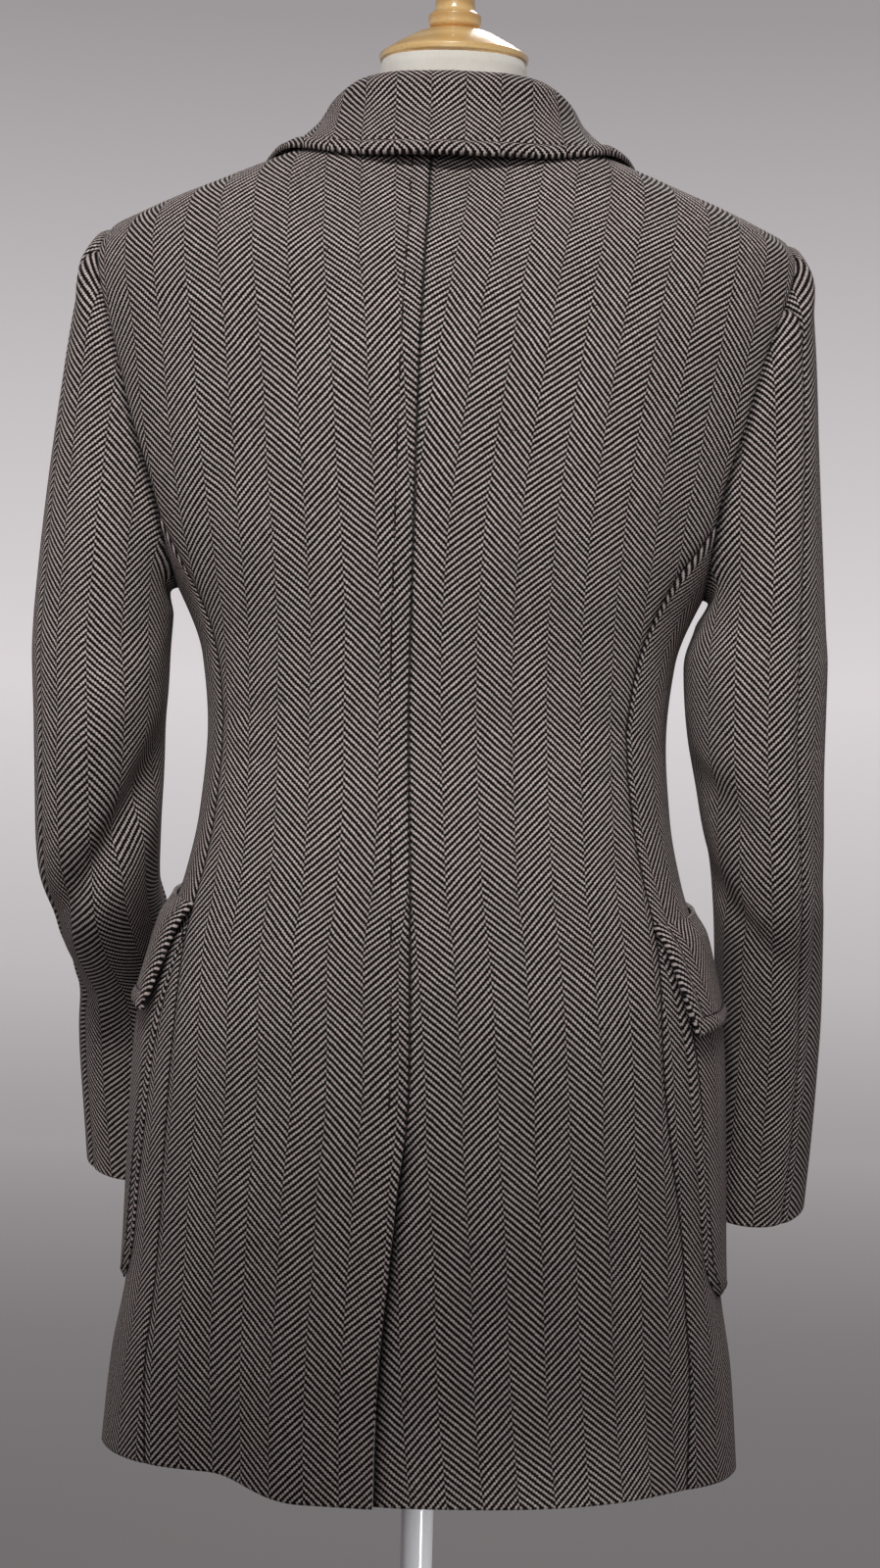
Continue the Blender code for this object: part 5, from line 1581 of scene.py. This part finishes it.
class COAT_OT_sleeves(bpy.types.Operator):
    """The two-piece sleeves, from the armhole to the cuff"""

    bl_idname = "coat.sleeves"
    bl_label = "Sleeves"
    bl_options = {"REGISTER", "UNDO"}

    def execute(self, context):
        look = context.scene.coat_cloth
        for side, way in SIDES:
            last = float(len(SLEEVES[side]))
            station = np.concatenate([CAP_STATIONS, np.arange(1.0, last, STATION_STEP)[1:]])
            station = np.concatenate([station[station < last - CUFF_FROM], last - CUFF_STEPS])
            first = HIND_SEAM[side]
            fore = FORE_SEAM[side]
            for name, final in (("top_sleeve", fore - 360.0), ("under_sleeve", fore)):
                share = shares(GRID_WIDTH[name], look.grid_step)
                turn = np.radians(first + (final - first) * share)
                angle, height = np.meshgrid(turn, station)
                sheet = self.shape(side, way, angle, height, look)
                grain = self.grain(sheet, angle, station)
                cut_piece(context, f"{name}_{side}", sheet, grain, (0, 0, 1, 0))
        return {"FINISHED"}

    def shape(self, side, way, angle, height, look):
        """The sleeve's grid, half a seam gap inside both seams, tucked a little under the armhole's edge."""
        mirror = np.array([way, 1.0, 1.0])
        points = sleeve_shape(side, angle, height) * mirror
        across_from = sleeve_shape(side, angle + math.pi, height) * mirror
        aside = unit(np.gradient(points, axis=1))
        points[:, 0] += aside[:, 0] * SEAM_GAP / 2
        points[:, -1] -= aside[:, -1] * SEAM_GAP / 2
        tuck = hump(run_length(points, 0), SLEEVE_TUCK["spread"])
        points[..., 0] -= way * SLEEVE_TUCK["depth"] * tuck
        sheet = Sheet(points, (points + across_from) / 2)
        sheet.lift += sleeve_creases(side, angle, height)
        sheet.press(sheet.across, look)
        sheet.press(sheet.from_last_column(), look)
        # Painted shade: a dark band along the armhole seam, wider and darker lower down where the shadow
        # under the arm falls, over half the seams' painted shade.
        low = ease((SHOULDER_Z - points[..., 2]) / ARMHOLE_SHADE["over"])
        spread = ARMHOLE_SHADE["narrow"] + ARMHOLE_SHADE["wider"] * low
        dark = ARMHOLE_SHADE["on_top"] + ARMHOLE_SHADE["more_below"] * low
        dark = dark * hump(sheet.down - ARMHOLE_SHADE["from_edge"], spread)
        sheet.shade = np.maximum(SLEEVE_SEAM_SHADE * sheet.shade, dark)
        upper = ease((np.cos(angle) + SLEEVE_HEAD["behind"]) / SLEEVE_HEAD["over"])
        roll = hump(sheet.down - SLEEVE_HEAD["from_seam"], SLEEVE_HEAD["spread"])
        sheet.lift += upper * SLEEVE_HEAD["height"] * roll
        return sheet

    def grain(self, sheet, angle, station):
        """Lengths round the sleeve and along it.

        Below the biceps they are the ring's own length from its outermost line and the mean length down to
        the ring. Over the cap a point takes the length along its level line from the outermost line, and
        its height, with some of the outermost line's slope.
        """
        outer = int(np.argmin(np.abs(np.mod(angle[0] + math.pi, 2 * math.pi) - math.pi)))
        turning = np.sign(angle[0, -1] - angle[0, 0])
        round_cap = turning * level_lengths(sheet.base, outer, GRAIN_LEVELS)
        round_ring = turning * (sheet.across - sheet.across[:, outer:outer + 1])
        biceps = int(np.argmin(np.abs(station - 1.0)))
        height = sheet.base[..., 2] - sheet.base[biceps, :, 2]
        slope = sheet.down[:, outer] - (sheet.base[0, outer, 2] - sheet.base[:, outer, 2])
        rise = height + GRAIN_SLOPE * (slope[biceps] - slope)[:, None]
        on_cap = (station < 1.0)[:, None]
        around = np.where(on_cap, round_cap, round_ring + (round_cap - round_ring)[biceps])
        ring = sheet.down.mean(axis=1, keepdims=True)
        along = np.where(on_cap, rise, ring[biceps] - ring)
        return np.stack([around, along], axis=-1)


class COAT_OT_pockets(bpy.types.Operator):
    """The patch pockets on the skirt"""

    bl_idname = "coat.pockets"
    bl_label = "Pockets"
    bl_options = {"REGISTER", "UNDO"}

    def execute(self, context):
        look = context.scene.coat_cloth
        lines = []
        for side, _ in SIDES:
            depth = POCKET["top"] - POCKET["bottom"]
            drop = shares(depth, look.grid_step)
            z = POCKET["top"] - depth * drop
            near = np.clip(1 - (z - POCKET["bottom"]) / POCKET["corner"], 0.0, POCKET["corner_turn"])
            round_off = np.degrees(POCKET["corner"] * (1 - np.sqrt(1 - near**2)) / POCKET["radius"])
            rear = POCKET_REAR[side] - POCKET["rear_lean"] * drop - round_off
            fore = POCKET_REAR[side] - POCKET["length"] - POCKET["fore_lean"] * drop + round_off
            share = shares(GRID_WIDTH["pocket"], look.grid_step)
            angle = set_side(np.radians(rear[:, None] + (fore - rear)[:, None] * share), side)
            height = np.repeat(z[:, None], len(share), axis=1)
            sheet = Sheet(body(angle, height))
            sheet.lift += LAYER + body_creases(angle, height)
            sheet.lift += POCKET_EDGE["belly"] * np.sin(math.pi * share)[None, :]
            edge = np.minimum(np.minimum(sheet.across, sheet.from_last_column()), sheet.from_last_row())
            sheet.lift -= POCKET_EDGE["drop"] * hump(edge, POCKET_EDGE["spread"])
            middle = middle_values(sheet.across, share)
            grain = sheet.grain(middle, 0) * np.array([1.0, -1.0])
            cut_piece(
                context, f"pocket_{side}", sheet, grain, (1, 1, 1, 1),
                POCKET_EDGE["cloth"])
            sewn = POCKET_EDGE["stitches"]
            corner = POCKET_EDGE["from_corner"]
            for last in (False, True):
                lines.append(trimmed(along_columns(sheet, sewn, last), POCKET_EDGE["from_top"], sewn))
            lines.append(trimmed(along_rows(sheet, sewn, last=True), corner, corner))
        stitches(context, "pocket_stitching", lines)
        return {"FINISHED"}


class COAT_OT_flaps(bpy.types.Operator):
    """The pocket flaps, standing away from the skirt at their rear corners"""

    bl_idname = "coat.flaps"
    bl_label = "Pocket flaps"
    bl_options = {"REGISTER", "UNDO"}

    def execute(self, context):
        look = context.scene.coat_cloth
        sewing = context.scene.coat_sewing
        lines = []
        for side, _ in SIDES:
            rear, top = FLAP_REAR[side]
            drop = shares(FLAP["height"], look.grid_step * FINER_GRID)[:, None]
            share = shares(GRID_WIDTH["flap"], look.grid_step * FINE_GRID)[None, :]
            angle = set_side(np.radians(rear - FLAP["length"] * share - FLAP["lean"] * drop), side)
            height = top + FLAP["rise"] * share - FLAP["height"] * drop
            sheet = Sheet(body(angle, height))
            lift = LAYER + (FLAP["stand"] - LAYER) * ease(drop / FLAP["stands_within"])
            sheet.lift += lift + FLAP["flare"] * drop * ease(1 - share / FLAP["flares_within"])
            inset_by = sewing.edge_inset
            puff = sewing.edge_puff * FLAP["fuller"]
            edges = (sheet.across, sheet.from_last_column(), sheet.from_last_row())
            sheet.lift += np.maximum.reduce([edge_roll(distance, inset_by, puff) for distance in edges])
            middle = middle_values(sheet.across, share[0])
            grain = sheet.grain(middle, 0) * np.array([1.0, -1.0])
            cut_piece(context, f"pocket_flap_{side}", sheet, grain, (0, 1, 1, 1))
            for last in (False, True):
                lines.append(trimmed(along_columns(sheet, inset_by, last), FLAP["stitch_from_top"], inset_by))
            lines.append(trimmed(along_rows(sheet, inset_by, last=True), inset_by, inset_by))
        stitches(context, "flap_stitching", lines)
        return {"FINISHED"}


def closed_rings(rings, first, last):
    """Points and faces of rings one above another, closed by a fan to a point at each end."""
    rows, sides = rings.shape[:2]
    index = np.arange(rows * sides).reshape(rows, sides)
    index = np.concatenate([index, index[:, :1]], axis=1)
    low = np.full(sides, rows * sides)
    below = np.stack([low, index[0, 1:], index[0, :-1]], axis=-1)
    above = np.stack([low + 1, index[-1, :-1], index[-1, 1:]], axis=-1)
    points = np.concatenate([rings.reshape(-1, 3), [first, last]])
    return points, [grid_faces(index), below, above]


def turned_piece(name, profile, material, seat=(0, 0, 0), axes=np.eye(3), sides=64):
    """A solid of revolution: a profile of radius and height that starts and ends on the axis."""
    turn = np.linspace(0.0, 2 * math.pi, sides, endpoint=False)
    radius = profile[1:-1, :1]
    height = np.repeat(profile[1:-1, 1:], sides, axis=1)
    rings = np.stack([radius * np.cos(turn), radius * np.sin(turn), height], axis=-1)
    points, faces = closed_rings(rings, (0.0, 0.0, profile[0, 1]), (0.0, 0.0, profile[-1, 1]))
    return new_object(name, points @ np.array(axes) + np.array(seat), faces, material, points[:, :2])


def rounded(profile, per_corner=6):
    """A profile with each stretch refined on a smooth curve through its corners, by length."""
    length = np.concatenate([[0.0], np.cumsum(np.linalg.norm(np.diff(profile, axis=0), axis=1))])
    at = np.concatenate([np.linspace(a, b, per_corner, endpoint=False) for a, b in zip(length, length[1:])])
    at = np.append(at, length[-1])
    return np.stack([smooth(length, profile[:, k], at) for k in range(2)], axis=-1)


class COAT_OT_buttons(bpy.types.Operator):
    """The six front buttons, dished, with four holes painted black as painted shade and sewn with thread"""

    bl_idname = "coat.buttons"
    bl_label = "Buttons"
    bl_options = {"REGISTER", "UNDO"}

    def execute(self, context):
        sewing = context.scene.coat_sewing
        horn = made_material("button_horn", button_horn, sewing)
        places = [(x, z) for z in BUTTON_ROWS for x in (BUTTON_X, -BUTTON_X)]
        reach = BUTTON_HOLE["from_middle"]
        lines = []
        for number, (x, z) in enumerate(places, start=1):
            height = np.array([[z]])
            angle = front_angle(np.array([[x]]), height)
            normal = surface_normal(body, angle, height)[0, 0]
            seat = body(angle, height)[0, 0] + normal * (over_lift(angle, height)[0, 0] + BUTTON_SHANK)
            sideways = unit(np.cross(np.array([0.0, 0.0, 1.0]), normal))
            axes = (sideways, np.cross(normal, sideways), normal)
            name = f"button_{number}{FINISH_NAME}"
            piece = turned_piece(name, rounded(BUTTON_PROFILE), horn, seat, axes, BUTTON_SIDES)
            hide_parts(f"button_{number}")
            for row in (-reach, reach):
                thread = np.array([(aside, row, BUTTON_DISH) for aside in (-reach, 0.0, reach)])
                lines.append((thread @ np.array(axes) + seat, np.repeat(normal[None], len(thread), axis=0)))
        stitches(context, "button_thread", lines)
        return {"FINISHED"}


class COAT_OT_dress_form(bpy.types.Operator):
    """The dress form: its torso, turned cap and finial, pole and base"""

    bl_idname = "coat.dress_form"
    bl_label = "Dress form"
    bl_options = {"REGISTER", "UNDO"}

    def execute(self, context):
        look = context.scene.coat_form
        jersey = made_material("form_jersey", form_jersey, look)
        wood = made_material("varnished_wood", varnished_wood, look)
        white = made_material("white_enamel", enamel, look)
        foot = TORSO["z"][0]
        levels = np.append(foot, np.linspace(foot + TORSO_FOOT, TORSO["z"][-1], TORSO_ROWS))
        angle, z = np.meshgrid(np.linspace(0.0, 2 * math.pi, TORSO_SIDES, endpoint=False), levels)
        points, faces = closed_rings(ring_point(TORSO, angle, z), (0, 0, levels[0]), (0, 0, levels[-1]))
        torso = new_object("form_torso" + FINISH_NAME, points, faces, jersey)
        made = {
            "form_torso": (torso, "jersey"),
            "neck_cap": (turned_piece("neck_cap" + FINISH_NAME, rounded(CAP_PROFILE), wood), "wood"),
            "finial": (turned_piece("finial" + FINISH_NAME, rounded(FINIAL_PROFILE), wood), "wood"),
            "pole": (turned_piece("pole" + FINISH_NAME, POLE_PROFILE, white), "pole"),
            "base": (turned_piece("base" + FINISH_NAME, rounded(BASE_PROFILE), white), "pole"),
        }
        for node, (piece, slot) in made.items():
            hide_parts(node)
        return {"FINISHED"}


class COAT_OT_stage(bpy.types.Operator):
    """A plain floor that curves up all round, soft studio lights and the camera"""

    bl_idname = "coat.stage"
    bl_label = "Stage"
    bl_options = {"REGISTER", "UNDO"}

    def execute(self, context):
        look = context.scene.coat_stage
        paper = studio_paper(look)
        sides = STAGE["sides"]
        turn = np.linspace(0.0, 2 * math.pi, sides, endpoint=False)
        curve = np.radians(np.linspace(0.0, 90.0, STAGE["curve_rows"]))
        wall = STAGE["flat"] + STAGE["round"]
        radius = np.concatenate([FLOOR_RINGS, STAGE["flat"] + STAGE["round"] * np.sin(curve), [wall]])
        rise = STAGE["round"] * (1 - np.cos(curve))
        height = np.concatenate([np.zeros(len(FLOOR_RINGS)), rise, [STAGE["tall"]]])
        level = np.repeat(height[:, None], sides, axis=1)
        rings = np.stack([radius[:, None] * np.cos(turn), radius[:, None] * np.sin(turn), level], axis=-1)
        index = np.arange(len(radius) * sides).reshape(-1, sides)
        index = np.concatenate([index, index[:, :1]], axis=1)
        middle = np.full(sides, len(radius) * sides)
        fan = np.stack([middle, index[0, :-1], index[0, 1:]], axis=-1)
        points = np.concatenate([rings.reshape(-1, 3), [(0.0, 0.0, 0.0)]])
        faces = grid_faces(index)[:, ::-1].tolist() + fan.tolist()
        mesh = bpy.data.meshes.new("floor")
        mesh.from_pydata(points.tolist(), [], faces)
        mesh.polygons.foreach_set("use_smooth", np.ones(len(mesh.polygons), dtype=bool))
        mesh.materials.append(paper)
        floor = bpy.data.objects.new("floor", mesh)
        context.scene.collection.objects.link(floor)
        for name, (place, aim, size) in LAMPS.items():
            power = getattr(look, name + "_power")
            self.lamp(context, name, place, aim, size, power, getattr(look, name + "_spread"))
        world = bpy.data.worlds.new("studio")
        world.use_nodes = True
        sky = world.node_tree.nodes["Background"]
        sky.inputs["Color"].default_value = SKY_TINT
        sky.inputs["Strength"].default_value = look.sky
        context.scene.world = world
        context.scene.view_settings.view_transform = "Standard"
        camera = bpy.data.objects.new("camera", bpy.data.cameras.new("camera"))
        camera.location = (look.camera_x, look.camera_y, look.camera_z)
        camera.rotation_euler = (math.radians(90), 0.0, math.radians(180))
        camera.rotation_euler.rotate_axis("Z", look.roll)
        camera.data.lens = look.lens
        camera.data.clip_end = CLIP_END
        context.scene.collection.objects.link(camera)
        context.scene.camera = camera
        return {"FINISHED"}

    def lamp(self, context, name, place, aim, size, power, spread):
        """A soft light at a place, turned to face a point, with its beam kept to an angle."""
        light = bpy.data.lights.new(name, "AREA")
        light.shape = "RECTANGLE"
        light.size, light.size_y = size
        light.energy = power
        light.spread = spread
        lamp = bpy.data.objects.new(name, light)
        lamp.location = place
        away = np.array(place) - np.array(aim)
        flat = math.hypot(away[0], away[1])
        lamp.rotation_euler = (math.atan2(flat, away[2]), 0.0, math.atan2(away[0], -away[1]))
        context.scene.collection.objects.link(lamp)


STEPS = (
    COAT_OT_backs, COAT_OT_sides, COAT_OT_fronts, COAT_OT_lapels, COAT_OT_collar, COAT_OT_sleeves,
    COAT_OT_pockets, COAT_OT_flaps, COAT_OT_buttons, COAT_OT_dress_form, COAT_OT_stage,
)


class COAT_PT_panel(bpy.types.Panel):
    """The steps that build the overcoat"""

    bl_idname = "COAT_PT_panel"
    bl_label = "Overcoat"
    bl_space_type = "VIEW_3D"
    bl_region_type = "UI"
    bl_category = "Overcoat"

    def draw(self, context):
        for step in STEPS:
            self.layout.operator(step.bl_idname)


LOOKS = {"coat_cloth": ClothLook, "coat_sewing": SewingLook, "coat_form": FormLook, "coat_stage": StageLook}


def register():
    """Registers the settings, the steps and the panel."""
    for look in LOOKS.values():
        bpy.utils.register_class(look)
    for name, look in LOOKS.items():
        setattr(bpy.types.Scene, name, bpy.props.PointerProperty(type=look))
    for step in (*STEPS, COAT_PT_panel):
        bpy.utils.register_class(step)


def unregister():
    """Takes the panel, the steps and the settings out again."""
    for step in (*STEPS, COAT_PT_panel):
        bpy.utils.unregister_class(step)
    for name in LOOKS:
        delattr(bpy.types.Scene, name)
    for look in LOOKS.values():
        bpy.utils.unregister_class(look)


def main():
    """Runs the steps in order."""
    register()
    for step in STEPS:
        group, name = step.bl_idname.split(".")
        getattr(getattr(bpy.ops, group), name)()


if __name__ == "__main__":
    main()
